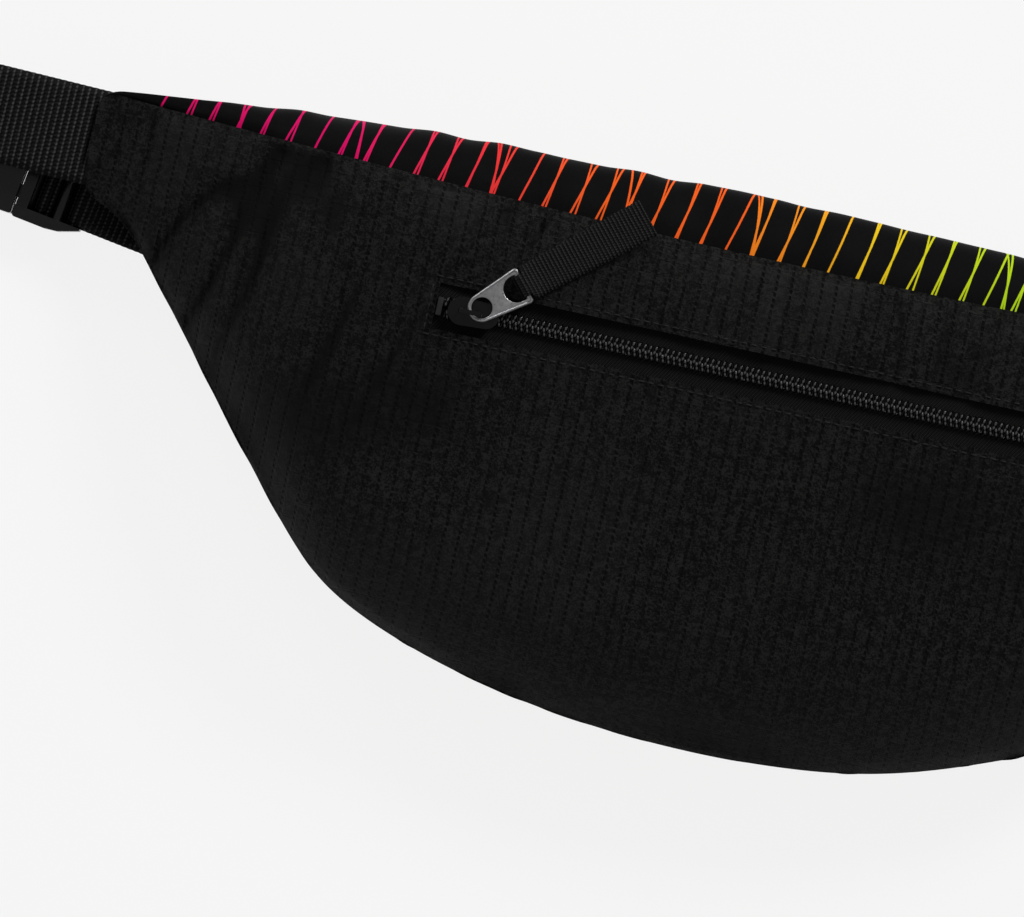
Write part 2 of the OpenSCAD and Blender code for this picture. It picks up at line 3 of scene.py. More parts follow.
import bmesh
import bpy
import numpy as np
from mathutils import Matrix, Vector


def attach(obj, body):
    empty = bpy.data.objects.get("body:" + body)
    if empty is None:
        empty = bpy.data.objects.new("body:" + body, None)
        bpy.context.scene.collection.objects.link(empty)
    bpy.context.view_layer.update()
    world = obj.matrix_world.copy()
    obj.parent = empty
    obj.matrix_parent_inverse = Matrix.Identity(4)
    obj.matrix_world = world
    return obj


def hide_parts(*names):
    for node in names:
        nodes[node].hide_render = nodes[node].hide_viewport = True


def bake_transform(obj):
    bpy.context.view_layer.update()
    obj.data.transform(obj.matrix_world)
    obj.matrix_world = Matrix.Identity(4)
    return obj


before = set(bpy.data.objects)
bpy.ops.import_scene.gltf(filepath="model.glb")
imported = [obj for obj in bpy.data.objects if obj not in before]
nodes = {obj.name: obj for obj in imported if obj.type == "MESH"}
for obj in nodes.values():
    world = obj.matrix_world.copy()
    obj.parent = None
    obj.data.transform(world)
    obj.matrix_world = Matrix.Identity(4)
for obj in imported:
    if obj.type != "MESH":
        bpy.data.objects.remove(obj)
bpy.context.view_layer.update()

# Sizes in millimetres, in the zipper's frame: X = 0 in the middle, Y = 0 on the back zipper
# The pack
HALF = 187.0
BELLY_DROP = 99.4
DEPTH = 46.0
FLOOR_GAP = 0.05
SKIN = 0.8
STRIP_REACH = 15.5
SHIFT = (BELLY_DROP - 46) / 2
# Zippers, and the line the flap lifts on
WINDOW_X, WINDOW_Y = 89.0, 6.0
TAPE_T, COIL_GAP = 0.6, 0.4
BAND_Y, BAND_Z, BAND_HALF = 35.75, 17.0, 6.0
ZIP_END, MAIN_COIL = 140.0, 137.0
BACK_CHAIN, BACK_COIL = WINDOW_X + 2, WINDOW_X - 1.95
# Linings, print, belt, ribbon and buckle
LINING_INSET, LINING_T = 1.1, 0.4
PRINT_END, PRINT_START, PRINT_ROW = 172.0, 7.0, 24.0
WEB_W, WEB_T, WEB_RIB, WEB_GROOVE = 25.4, 1.5, 1.7, 0.4
FOLD_X = 272.0
RUN_Z, WING_WEB_Z, STRAP_Z, TAIL_Z = 14.2, 17.25, 3.5, 1.75
RIBBON_L, RIBBON_RIB = 37.0, 1.02
BUCKLE_X, BUCKLE_Y, SLANT = -185.0, 13.0, math.radians(9)
MM = 0.001


def row(points):
    """Millimetres in the zipper's frame to metres in the row frame."""
    return (np.asarray(points, float) + np.array([0, SHIFT, 0])) * MM


# ---------------------------------------------------------------- surfaces
def smooth(v):
    c = np.clip(v, 0, 1)
    return c * c * (3 - 2 * c)


def mix(a, b, k):
    return a + (b - a) * k


def tip_inset(x):
    d = np.maximum(0, np.abs(x) - HALF + 6)
    return 6 - np.sqrt(np.maximum(0, 36 - d * d))


def top_seam(x):
    return 30.5 + 6 * (x / HALF) ** 2 - 0.6 * tip_inset(x)


def strip_out(x):
    return STRIP_REACH * np.maximum(0, 1 - (x / HALF) ** 2) ** 0.9


def bottom_seam(x):
    k = np.abs(x) + np.where(x > 0, 8 * smooth((x - 30) / 50) * (1 - smooth((x - 110) / 60)), 0)
    a = 0.00165 * k ** 2 + 2.5e-8 * k ** 4 - BELLY_DROP
    b = 1.22 * (k - 124.4) - 55.5
    m = (a + b + np.sqrt((a - b) ** 2 + 64)) / 2
    w = 0.35 * (np.abs(x) - 176) + 6
    return (m + w - np.sqrt((m - w) ** 2 + 9)) / 2 + tip_inset(x)


def back_z(x):
    return mix(DEPTH, 19.0, smooth((np.abs(x) - 110) / (HALF - 110)))


def front_z(x):
    return mix(0.0, 15.5, smooth((np.abs(x) - 70) / (HALF - 70)))


def depth(x):
    return back_z(x) - front_z(x)


def corners(x):
    k = smooth((np.abs(x) - ZIP_END) / (HALF - ZIP_END))
    s45 = math.sqrt(0.5)
    a = (top_seam(x), back_z(x) - 0.14 * depth(x))
    b = (bottom_seam(x), front_z(x) + 0.62 * depth(x))
    c = (mix(BAND_Y - BAND_HALF * s45, top_seam(x) - 4, k),
         mix(BAND_Z - BAND_HALF * s45, front_z(x) + 0.2 * depth(x), k))
    d = (mix(BAND_Y + BAND_HALF * s45, top_seam(x), k),
         mix(BAND_Z + BAND_HALF * s45, front_z(x) + 0.5 * depth(x), k))
    return a, b, c, d


def roll(d, w):
    return 1 - (1 - np.clip(d / w, 0, 1)) ** 2


def back_height(x, y):
    a, b = corners(x)[:2]
    h = a[0] - b[0]
    top = mix(a[1], back_z(x), roll(a[0] - y, np.minimum(22, 0.3 * h)))
    low = mix(b[1], back_z(x), roll(y - b[0], np.minimum(35, 0.4 * h)))
    return np.minimum(top, low)


def bez(p, q, r, s, t):
    m = 1 - t
    return m ** 3 * p + 3 * m * m * t * q + 3 * m * t * t * r + t ** 3 * s


def section(x, u):
    """The pack's cross-section at x: 0-1 back, 1-2 front, 2-3 zipper band, 3-4 top strip."""
    x, u = np.broadcast_arrays(np.asarray(x, float), np.asarray(u, float))
    v = np.mod(u + 4, 4)
    a, b, c, d = corners(x)
    h = a[0] - b[0]
    z = front_z(x)
    by = mix(a[0], b[0], v)
    bz = back_height(x, by)
    s = v - 1
    t1, t2, t3 = s / 0.4, (s - 0.4) / 0.15, (s - 0.55) / 0.45
    f1, f2 = b[0] + 0.18 * h, b[0] + 0.40 * h
    fy = np.where(s < 0.4, bez(b[0], b[0], b[0] + 0.05 * h, f1, t1),
                  np.where(s < 0.55, mix(f1, f2, t2),
                           bez(f2, b[0] + 0.56 * h, c[0] - 0.22 * h, c[0], t3)))
    fz = np.where(s < 0.4, bez(b[1], mix(b[1], z, 0.6), z, z, t1),
                  np.where(s < 0.55, z, bez(z, z, mix(z, c[1], 0.36), c[1], t3)))
    q = v - 3
    out = (8 * (a[0] + strip_out(x)) - a[0] - d[0]) / 6
    sy = bez(d[0], out, out, a[0], q)
    sz = bez(d[1], mix(d[1], a[1], 0.2), mix(d[1], a[1], 0.7), a[1], q)
    gy, gz = mix(c[0], d[0], v - 2), mix(c[1], d[1], v - 2)
    y = np.where(v < 1, by, np.where(v < 2, fy, np.where(v < 3, gy, sy)))
    zz = np.where(v < 1, bz, np.where(v < 2, fz, np.where(v < 3, gz, sz)))
    return y, zz


def outward(x, u, inset=0.0, lift=None):
    e = 0.004
    y, z = section(x, u)
    y0, z0 = section(x, u - e)
    y1, z1 = section(x, u + e)
    ay, az, by, bz = y - y0, z - z0, y1 - y, z1 - z
    la, lb = np.hypot(ay, az) + 1e-12, np.hypot(by, bz) + 1e-12
    ty, tz = ay / la + by / lb, az / la + bz / lb
    lt = np.hypot(ty, tz) + 1e-12
    iy, iz = -tz / lt, ty / lt
    k = inset - (0 if lift is None else lift)
    X = np.broadcast_to(np.asarray(x, float), y.shape)
    return np.stack([X, y + iy * k, z + iz * k], -1)


def noise(x, y, seed):
    """Smooth value noise from -1 to 1."""
    xi, yi = np.floor(x), np.floor(y)
    xf, yf = x - xi, y - yi

    def corner(i, j):
        v = np.sin((xi + i) * 127.1 + (yi + j) * 311.7 + seed * 74.7) * 43758.5453
        return v - np.floor(v)
    a, b = smooth(xf), smooth(yf)
    low = mix(corner(0, 0), corner(1, 0), a)
    high = mix(corner(0, 1), corner(1, 1), a)
    return 2 * mix(low, high, b) - 1


def back_puckers(x, y):
    """How far the back panel's cloth stands out, in millimetres."""
    a, b = corners(x)[:2]
    below, above = a[0] - y, y - b[0]
    side = np.where(x < 0, -1.0, 1.0)
    ax = np.abs(x)
    wing = smooth((ax - 66) / 60)
    edge = smooth(np.minimum(below, above) / 4)
    lean = x + side * 0.2 * y
    top = ridge(lean / 7.5, y / 46, 1) * np.exp(-np.maximum(0, below - 3) / 17) * 1.15
    low = 0.5 * noise(x / 7.5 + y / 9, y / 26, 2) * np.exp(-above / 10)
    p, q = (ax * 0.96 + y * 0.28), (-ax * 0.28 + y * 0.96)
    folds = ridge(p / 13.5, q / 47, 3 + side) * 1.05 + noise(p / 5.2, q / 34, 5 + side) * 0.3
    dx = np.maximum(0, ax - WINDOW_X)
    r = np.hypot(dx, np.maximum(0, np.abs(y) - WINDOW_Y))
    ends = np.exp(-r / 13) * smooth((ax - 60) / 30) * noise((y - 0.5 * ax) / 5.5, ax / 30, 7) * 0.8
    soft = 0.8 * noise(x / 46, y / 34, 8) + 0.3 * noise(x / 17 - y / 30, y / 24, 9)
    zip_side = 0.45 * noise(x / 10, y / 30, 10) * np.exp(-np.maximum(0, np.abs(y) - WINDOW_Y) / 9)
    hem = -0.15 * np.exp(-np.minimum(below, above) / 1.3)
    upper = smooth((y + 42) / 40)
    lift = edge * (top + low + wing * upper * folds + ends + soft + zip_side * (1 - wing)) + hem
    return np.maximum(lift, -0.3 - 1.5 * smooth((175 - ax) / 14))


def ridge(x, y, seed):
    """Long creases: broad swells with narrow hollows between them, from about -1 to 0.5."""
    n = noise(x + 0.5 * noise(x / 3, y, seed + 50), y, seed)
    return 0.5 - 1.5 * np.exp(-(n / 0.24) ** 2) * smooth((noise(x / 2.2, y * 0.8, seed + 60) + 0.6) / 0.6)


def front_puckers(x, y, u):
    s = np.clip(u - 1, 0, 1)
    edge = smooth(np.minimum(s, 1 - s) / 0.08)
    ax = np.abs(x)
    rest = smooth((s - 0.34) / 0.08) * (1 - smooth((s - 0.6) / 0.1)) * (1 - smooth((ax - 70) / 40))
    w = 0.5 * noise(x / 6, y / 22, 21) * np.exp(-s / 0.12)
    w = w + (0.6 * noise(x / 40, y / 30, 22) + 0.4 * noise(x / 15 + y / 24, y / 28, 23)) * edge
    return np.maximum(mix(w, -np.abs(w) * 0.2, rest), -0.8) - 0.1 * np.exp(-s / 0.012)


def strip_puckers(x, y, u):
    s = np.clip(u - 3, 0, 1)
    room = smooth(np.minimum(s, 1 - s) / 0.2) * smooth((HALF - 8 - np.abs(x)) / 40)
    w = 0.45 * noise(x / 9, s * 2.2, 31) + 0.5 * noise(x / 31, s * 1.3, 32)
    return room * w - 0.5 * np.exp(-(1 - s) / 0.03) - 0.3 * np.exp(-s / 0.04)


# ---------------------------------------------------------------- meshes
def new_object(name, verts, faces, material, flat=None):
    me = bpy.data.meshes.new(name)
    me.from_pydata([tuple(v) for v in verts], [], [tuple(f) for f in faces])
    me.update()
    bm = bmesh.new()
    bm.from_mesh(me)
    bmesh.ops.recalc_face_normals(bm, faces=bm.faces)
    bm.to_mesh(me)
    bm.free()
    if flat is not None:
        at = me.attributes.new("flat", "FLOAT_VECTOR", "POINT")
        at.data.foreach_set("vector", np.asarray(flat, np.float32).ravel())
    me.polygons.foreach_set("use_smooth", [True] * len(me.polygons))
    me.materials.append(material)
    ob = bpy.data.objects.new(name, me)
    bpy.context.scene.collection.objects.link(ob)
    return ob


def above_floor(verts):
    """Soft pieces flatten where they rest."""
    verts[:, 2] = np.maximum(verts[:, 2], FLOOR_GAP * MM)
    return verts


def shell(name, outer, inner, flat, material, mask=None):
    """Closes two matching grids into one cloth solid, leaving out the cells that mask says are open."""
    n, m = outer.shape[:2]
    k = n * m
    cell = np.ones((n - 1, m - 1), bool) if mask is None else mask
    idx = np.arange(k).reshape(n, m)
    faces = []
    for i in range(n - 1):
        for j in range(m - 1):
            if not cell[i, j]:
                continue
            a, b, c, d = idx[i, j], idx[i, j + 1], idx[i + 1, j + 1], idx[i + 1, j]
            faces.append((a, b, c, d))
            faces.append((a + k, d + k, c + k, b + k))
            if i == 0 or not cell[i - 1, j]:
                faces.append((a, a + k, b + k, b))
            if i == n - 2 or not cell[i + 1, j]:
                faces.append((d, c, c + k, d + k))
            if j == 0 or not cell[i, j - 1]:
                faces.append((a, d, d + k, a + k))
            if j == m - 2 or not cell[i, j + 1]:
                faces.append((b, b + k, c + k, c))
    verts = above_floor(row(np.concatenate([outer.reshape(-1, 3), inner.reshape(-1, 3)])))
    fl = np.concatenate([flat.reshape(-1, 3)] * 2)
    ob = new_object(name, verts, faces, material, fl)
    bm = bmesh.new()
    bm.from_mesh(ob.data)
    bmesh.ops.delete(bm, geom=[v for v in bm.verts if not v.link_faces], context="VERTS")
    rim = [e for e in bm.edges if len(e.link_faces) == 2 and e.calc_face_angle(0) > 1.0]
    for e in rim:
        e.smooth = False
    bm.to_mesh(ob.data)
    bm.free()
    return ob


def flat_coords(points, lift=0.0, from_end=False):
    """Cloth coordinates of a grid in millimetres: X along the pack, arc length across it, and lift."""
    step = np.linalg.norm(np.diff(points, axis=1), axis=2)
    arc = np.concatenate([np.zeros((points.shape[0], 1)), np.cumsum(step, axis=1)], axis=1)
    if from_end:
        arc = arc[:, -1:] - arc
    return np.stack([points[..., 0], arc, np.broadcast_to(lift, arc.shape)], -1)


def grid(xs, us):
    return np.meshgrid(np.asarray(xs, float), np.asarray(us, float), indexing="ij")


def sheet(name, xs, us, inset, thick, material, lift=None, from_end=False):
    X, U = grid(xs, us)
    plain = outward(X, U, inset)
    lift = 0 if lift is None else lift(X, plain[..., 1], U)
    outer = outward(X, U, inset, lift)
    inner = outward(X, U, inset + thick, lift)
    return shell(name, outer, inner, flat_coords(plain, lift, from_end), material)


def tube(points, radius, sides=6, closed=False):
    """Vertices and faces of a round tube through points, all in millimetres."""
    p = np.asarray(points, float)
    n = len(p)
    nxt = np.roll(p, -1, 0) if closed else np.vstack([p[1:], 2 * p[-1] - p[-2]])
    prv = np.roll(p, 1, 0) if closed else np.vstack([2 * p[0] - p[1], p[:-1]])
    t = nxt - prv
    t /= np.linalg.norm(t, axis=1)[:, None] + 1e-12
    ref = np.array([0.0, 0.0, 1.0])
    side = np.cross(t, ref)
    weak = np.linalg.norm(side, axis=1) < 0.1
    side[weak] = np.cross(t[weak], np.array([0.0, 1.0, 0.0]))
    for i in range(1, n):
        s = side[i - 1] - t[i] * (side[i - 1] @ t[i])
        if np.linalg.norm(s) > 1e-6:
            side[i] = s
        side[i] /= np.linalg.norm(side[i]) + 1e-12
    side[0] /= np.linalg.norm(side[0]) + 1e-12
    up = np.cross(t, side)
    r = np.broadcast_to(np.asarray(radius, float), (n,))
    a = np.arange(sides) * 2 * math.pi / sides
    ring = (side[:, None] * np.cos(a)[None, :, None] + up[:, None] * np.sin(a)[None, :, None])
    verts = (p[:, None] + ring * r[:, None, None]).reshape(-1, 3)
    faces = []
    last = n if closed else n - 1
    for i in range(last):
        j = (i + 1) % n
        for s in range(sides):
            s2 = (s + 1) % sides
            faces.append((i * sides + s, i * sides + s2, j * sides + s2, j * sides + s))
    if not closed:
        faces.append(tuple(range(sides))[::-1])
        faces.append(tuple((n - 1) * sides + s for s in range(sides)))
    return verts, faces


def joined(parts):
    verts, faces, base = [], [], 0
    for v, f in parts:
        verts.append(v)
        faces += [tuple(i + base for i in q) for q in f]
        base += len(v)
    return np.concatenate(verts), faces


def spline(path, step):
    """Even samples along a smooth curve through the path's points [x, y, z, angle]."""
    p = np.asarray(path, float)
    pts = []
    for i in range(len(p) - 1):
        a, b = p[max(0, i - 1)], p[i]
        c, d = p[i + 1], p[min(len(p) - 1, i + 2)]
        n = max(2, int(np.linalg.norm(c[:3] - b[:3]) / 0.6))
        l0, l1, l2 = (max(1e-6, np.linalg.norm(q[:3] - r[:3])) for q, r in ((b, a), (c, b), (d, c)))
        m1 = (c - b) / l1 if i == 0 else ((b - a) / l0 + (c - b) / l1) / 2
        m2 = (c - b) / l1 if i == len(p) - 2 else ((c - b) / l1 + (d - c) / l2) / 2
        m1, m2 = m1 * l1, m2 * l1
        for k in range(n):
            t = k / n
            pts.append((2 * t ** 3 - 3 * t * t + 1) * b + (t ** 3 - 2 * t * t + t) * m1
                       + (-2 * t ** 3 + 3 * t * t) * c + (t ** 3 - t * t) * m2)
    pts.append(p[-1])
    pts = np.asarray(pts)
    seg = np.linalg.norm(np.diff(pts[:, :3], axis=0), axis=1)
    s = np.concatenate([[0], np.cumsum(seg)])
    n = int(s[-1] / step)
    at = np.linspace(0, s[-1], n + 1)
    return np.stack([np.interp(at, s, pts[:, k]) for k in range(4)], -1), at


def ribbed_strap(name, path, width, thick, pitch, groove, material):
    """Woven strap with ribs across its width, swept along a path."""
    p, at = spline(path, pitch / 5)
    n = len(p)
    t = np.gradient(p[:, :3], axis=0)
    t /= np.linalg.norm(t, axis=1)[:, None]
    ang = p[:, 3]
    side = np.stack([-np.sin(ang), np.cos(ang), np.zeros(n)], -1)
    up = np.cross(t, side)
    up /= np.linalg.norm(up, axis=1)[:, None]
    phase = at / pitch * 2 * math.pi
    cols = 13
    v = np.linspace(-1, 1, cols)
    body = 1 - np.abs(v) ** 10 * 0.35
    verts, flat = [], []
    for sign in (1, -1):
        for k in (range(cols) if sign > 0 else range(cols - 1, -1, -1)):
            wob = 0.2 * np.sin(phase * 0.11 + v[k] * 3)
            rib = 0.5 + 0.5 * np.cos(phase + wob + (0 if sign > 0 else math.pi))
            edge = 0.05 * np.cos(phase) * (abs(v[k]) > 0.99)
            h = (thick / 2) * body[k] - groove * (1 - rib) * (1 - 0.5 * abs(v[k]) ** 8)
            out = (v[k] * width / 2 + edge * v[k])[:, None]
            verts.append(p[:, :3] + side * out + up * (sign * h)[:, None])
            flat.append(np.stack([at, np.full(n, v[k] * width / 2), np.full(n, float(sign))], -1))
    m = len(verts)
    V = np.stack(verts, 1)
    F = np.stack(flat, 1)
    faces = []
    for i in range(n - 1):
        for j in range(m):
            j2 = (j + 1) % m
            faces.append((i * m + j, i * m + j2, (i + 1) * m + j2, (i + 1) * m + j))
    faces.append(tuple(range(m))[::-1])
    faces.append(tuple((n - 1) * m + j for j in range(m)))
    return new_object(name, above_floor(row(V.reshape(-1, 3))), faces, material, F.reshape(-1, 3))


def rounded(name, node, width, material):
    """A copy of a hard CAD node with its edges rounded off."""
    src = nodes[node]
    me = src.data.copy()
    me.name = name
    ob = bpy.data.objects.new(name, me)
    bpy.context.scene.collection.objects.link(ob)
    me.materials.clear()
    me.materials.append(material)
    bm = bmesh.new()
    bm.from_mesh(me)
    bmesh.ops.remove_doubles(bm, verts=bm.verts, dist=2e-6)
    bmesh.ops.dissolve_limit(bm, angle_limit=math.radians(1.5), verts=bm.verts, edges=bm.edges)
    bm.to_mesh(me)
    bm.free()
    bevel = ob.modifiers.new("bevel", "BEVEL")
    bevel.width = width * MM
    bevel.segments = 3
    bevel.limit_method = "ANGLE"
    bevel.angle_limit = math.radians(32)
    bevel.use_clamp_overlap = True
    apply_modifiers(ob)
    ob.data.polygons.foreach_set("use_smooth", [True] * len(ob.data.polygons))
    sharpen(ob, 40)
    return ob


def sharpen(ob, degrees):
    bm = bmesh.new()
    bm.from_mesh(ob.data)
    for e in bm.edges:
        if len(e.link_faces) == 2:
            e.smooth = e.calc_face_angle(0) < math.radians(degrees)
    bm.to_mesh(ob.data)
    bm.free()


def apply_modifiers(ob):
    bpy.context.view_layer.update()
    me = bpy.data.meshes.new_from_object(ob.evaluated_get(bpy.context.evaluated_depsgraph_get()))
    old = ob.data
    ob.modifiers.clear()
    ob.data = me
    bpy.data.meshes.remove(old)


def place(piece, body, slot, *replaced):
    if body:
        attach(piece, body)
    if replaced:
        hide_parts(*replaced)
    return piece


def bend_with_flap(piece, replaced):
    """Hides the nodes that one end's piece replaces and bakes the piece's transform into its mesh."""
    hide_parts(*replaced)
    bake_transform(piece)


# ---------------------------------------------------------------- materials
class Nodes:
    """Short calls for building one material's nodes."""

    def __init__(self, name, color, rough, **sockets):
        self.mat = bpy.data.materials.new(name)
        self.mat.use_nodes = True
        self.tree = self.mat.node_tree
        self.bsdf = self.tree.nodes["Principled BSDF"]
        self.bsdf.inputs["Base Color"].default_value = (*color, 1)
        self.bsdf.inputs["Roughness"].default_value = rough
        self.mat.diffuse_color = (*color, 1)
        for key, value in sockets.items():
            self.bsdf.inputs[key.replace("_", " ")].default_value = value

    def node(self, kind, **props):
        n = self.tree.nodes.new(kind)
        for key, value in props.items():
            setattr(n, key, value)
        return n

    def link(self, value, socket):
        if hasattr(value, "is_output"):
            self.tree.links.new(value, socket)
        else:
            socket.default_value = value

    def math(self, op, a, b=0.0, c=0.0):
        n = self.node("ShaderNodeMath", operation=op)
        for value, socket in zip((a, b, c), n.inputs):
            self.link(value, socket)
        return n.outputs[0]

    def flat(self):
        n = self.node("ShaderNodeAttribute", attribute_name="flat")
        s = self.node("ShaderNodeSeparateXYZ")
        self.tree.links.new(n.outputs["Vector"], s.inputs[0])
        return n.outputs["Vector"], s.outputs[0], s.outputs[1], s.outputs[2]

    def place(self):
        """The piece's own coordinates, in millimetres."""
        t = self.node("ShaderNodeTexCoord")
        s = self.node("ShaderNodeVectorMath", operation="SCALE")
        self.tree.links.new(t.outputs["Object"], s.inputs[0])
        s.inputs["Scale"].default_value = 1000
        x = self.node("ShaderNodeSeparateXYZ")
        self.tree.links.new(s.outputs[0], x.inputs[0])
        return s.outputs[0], x.outputs[0], x.outputs[1], x.outputs[2]

    def noise(self, vector, scale, detail=2.0, rough=0.5):
        n = self.node("ShaderNodeTexNoise")
        self.link(vector, n.inputs["Vector"])
        n.inputs["Scale"].default_value = scale
        n.inputs["Detail"].default_value = detail
        n.inputs["Roughness"].default_value = rough
        return n.outputs[0]

    def voronoi(self, vector, scale):
        n = self.node("ShaderNodeTexVoronoi")
        self.link(vector, n.inputs["Vector"])
        n.inputs["Scale"].default_value = scale
        return n.outputs["Distance"]

    def ramp(self, value, low, high, a=0.0, b=1.0):
        n = self.node("ShaderNodeMapRange", interpolation_type="SMOOTHSTEP")
        for v, s in zip((value, low, high, a, b), n.inputs):
            self.link(v, s)
        return n.outputs[0]

    def blend(self, factor, a, b):
        n = self.node("ShaderNodeMix", data_type="RGBA")
        self.link(factor, n.inputs[0])
        for value, socket in ((a, n.inputs[6]), (b, n.inputs[7])):
            if isinstance(value, tuple):
                socket.default_value = (*value, 1)
            else:
                self.tree.links.new(value, socket)
        return n.outputs[2]

    def bump(self, height, strength, distance):
        n = self.node("ShaderNodeBump")
        n.inputs["Strength"].default_value = strength
        n.inputs["Distance"].default_value = distance
        self.link(height, n.inputs["Height"])
        self.tree.links.new(n.outputs[0], self.bsdf.inputs["Normal"])

    def color(self, socket):
        self.tree.links.new(socket, self.bsdf.inputs["Base Color"])

    def rough(self, socket):
        self.tree.links.new(socket, self.bsdf.inputs["Roughness"])


def weave(g, u, v, pitch_u, pitch_v):
    """Plain weave height from two coordinates in millimetres."""
    a = g.math("SINE", g.math("MULTIPLY", u, 2 * math.pi / pitch_u))
    b = g.math("SINE", g.math("MULTIPLY", v, 2 * math.pi / pitch_v))
    return g.math("MULTIPLY", a, b)


def line_mask(g, value, period, width):
    """1 on thin lines at every multiple of the period."""
    f = g.math("FRACT", g.math("DIVIDE", value, period))
    d = g.math("MULTIPLY", g.math("SUBTRACT", 0.5, g.math("ABSOLUTE", g.math("SUBTRACT", f, 0.5))), period)
    return g.ramp(d, width * 0.35, width * 0.75, 1.0, 0.0)


def ripstop():
    g = Nodes("ripstop_cloth", (0.005, 0.005, 0.0051), 0.5, Specular_IOR_Level=0.085)
    lift = g.flat()[3]
    vec, x, y = g.place()[:3]
    wob = g.math("MULTIPLY", g.math("SUBTRACT", g.noise(vec, 0.08, 1.0), 0.5), 0.8)
    line = line_mask(g, g.math("ADD", x, wob), 3.9, 0.62)
    dash = g.ramp(g.math("FRACT", g.math("DIVIDE", g.math("ADD", y, g.math("MULTIPLY", x, 0.37)), 1.55)),
                  0.52, 0.62, 1.0, 0.0)
    thread = g.math("MULTIPLY", line, dash)
    cross = g.math("MULTIPLY", line_mask(g, y, 3.9, 0.22), 0.25)
    fine = weave(g, x, y, 0.42, 0.42)
    grain = g.noise(vec, 1.9, 3.0, 0.75)
    mottle = g.noise(vec, 0.55, 3.0, 0.65)
    tone = g.math("ADD", g.math("MULTIPLY", grain, 0.65), g.math("MULTIPLY", mottle, 0.35))
    base = g.blend(g.ramp(tone, 0.46, 0.56), (0.0003, 0.0003, 0.0003), (0.0154, 0.0154, 0.0149))
    # Painted shade: the cloth's colour darkens in its creases, where the lift is low.
    painted_crease_shade = g.ramp(lift, -1.1, -0.05, 0.9, 0.0)
    base = g.blend(painted_crease_shade, base, (0.001, 0.001, 0.001))
    # Painted highlight: the cloth's colour lightens where it stands out.
    base = g.blend(g.ramp(lift, 0.1, 1.5, 0.0, 0.45), base, (0.018, 0.018, 0.0178))
    faint = g.ramp(g.noise(vec, 0.12, 2.0), 0.35, 0.6, 0.7, 1.0)
    base = g.blend(g.math("MULTIPLY", thread, faint), base, (0.0, 0.0, 0.0))
    dist = g.voronoi(vec, 0.11)
    base = g.blend(g.math("MULTIPLY", g.math("LESS_THAN", dist, 0.015), 0.3), base, (0.07, 0.07, 0.075))
    g.color(base)
    g.rough(g.ramp(grain, 0.3, 0.7, 0.4, 0.6))
    height = g.math("ADD", g.math("MULTIPLY", fine, 0.18), g.math("MULTIPLY", tone, 0.9))
    height = g.math("SUBTRACT", height, g.math("MULTIPLY", g.math("MAXIMUM", thread, cross), 1.2))
    g.bump(height, 1.0, 0.0004)
    return g.mat


# Generic crossing strokes whose colour runs along the pack in even steps
PINK, CORAL, ORANGE = (0.66, 0.003, 0.12), (0.78, 0.03, 0.035), (0.86, 0.11, 0.012)
YELLOW, LIME = (0.80, 0.50, 0.01), (0.42, 0.62, 0.01)
PRINT_COLORS = [PINK, PINK, PINK, CORAL, ORANGE, ORANGE, YELLOW, LIME, LIME, ORANGE, CORAL, PINK]


def stroke(g, u, v, period, lean, shift, seed, chance, fork):
    """A family of leaning pairs of strokes, which cross at a small angle, with uneven gaps."""
    tilt = g.math("MULTIPLY", g.math("SUBTRACT", v, 8.0), lean)
    shear = g.math("SUBTRACT", g.math("SUBTRACT", u, shift), tilt)
    k0 = g.math("FLOOR", g.math("DIVIDE", shear, period))
    rnd = g.node("ShaderNodeTexWhiteNoise", noise_dimensions="1D")
    g.link(g.math("ADD", k0, seed), rnd.inputs["W"])
    sep = g.node("ShaderNodeSeparateColor")
    g.tree.links.new(rnd.outputs["Color"], sep.inputs[0])
    local = g.math("SUBTRACT", shear, g.math("MULTIPLY", k0, period))
    centre = g.math("ADD", g.math("MULTIPLY", sep.outputs[0], period * 0.16), period * 0.42)
    along = g.math("SUBTRACT", v, g.math("ADD", g.math("MULTIPLY", sep.outputs[1], 9.0), 3.0))
    bow = g.math("MULTIPLY", g.math("SINE", g.math("MULTIPLY", v, 0.16)), 0.35)
    masks = []
    for sign, wide in ((1.0, 0.30), (-1.0, 0.25)):
        split = g.math("MULTIPLY", g.math("ADD", sep.outputs[2], 0.35), sign * fork)
        split = g.math("MULTIPLY", along, split)
        d = g.math("ABSOLUTE", g.math("SUBTRACT", local, g.math("ADD", g.math("ADD", centre, split), bow)))
        masks.append(g.ramp(d, wide * 0.7, wide * 1.15, 1.0, 0.0))
    second = g.math("MULTIPLY", masks[1], g.math("GREATER_THAN", sep.outputs[1], 0.25))
    both = g.math("MAXIMUM", masks[0], second)
    return g.math("MULTIPLY", both, g.math("LESS_THAN", sep.outputs[0], chance)), sep.outputs[1]


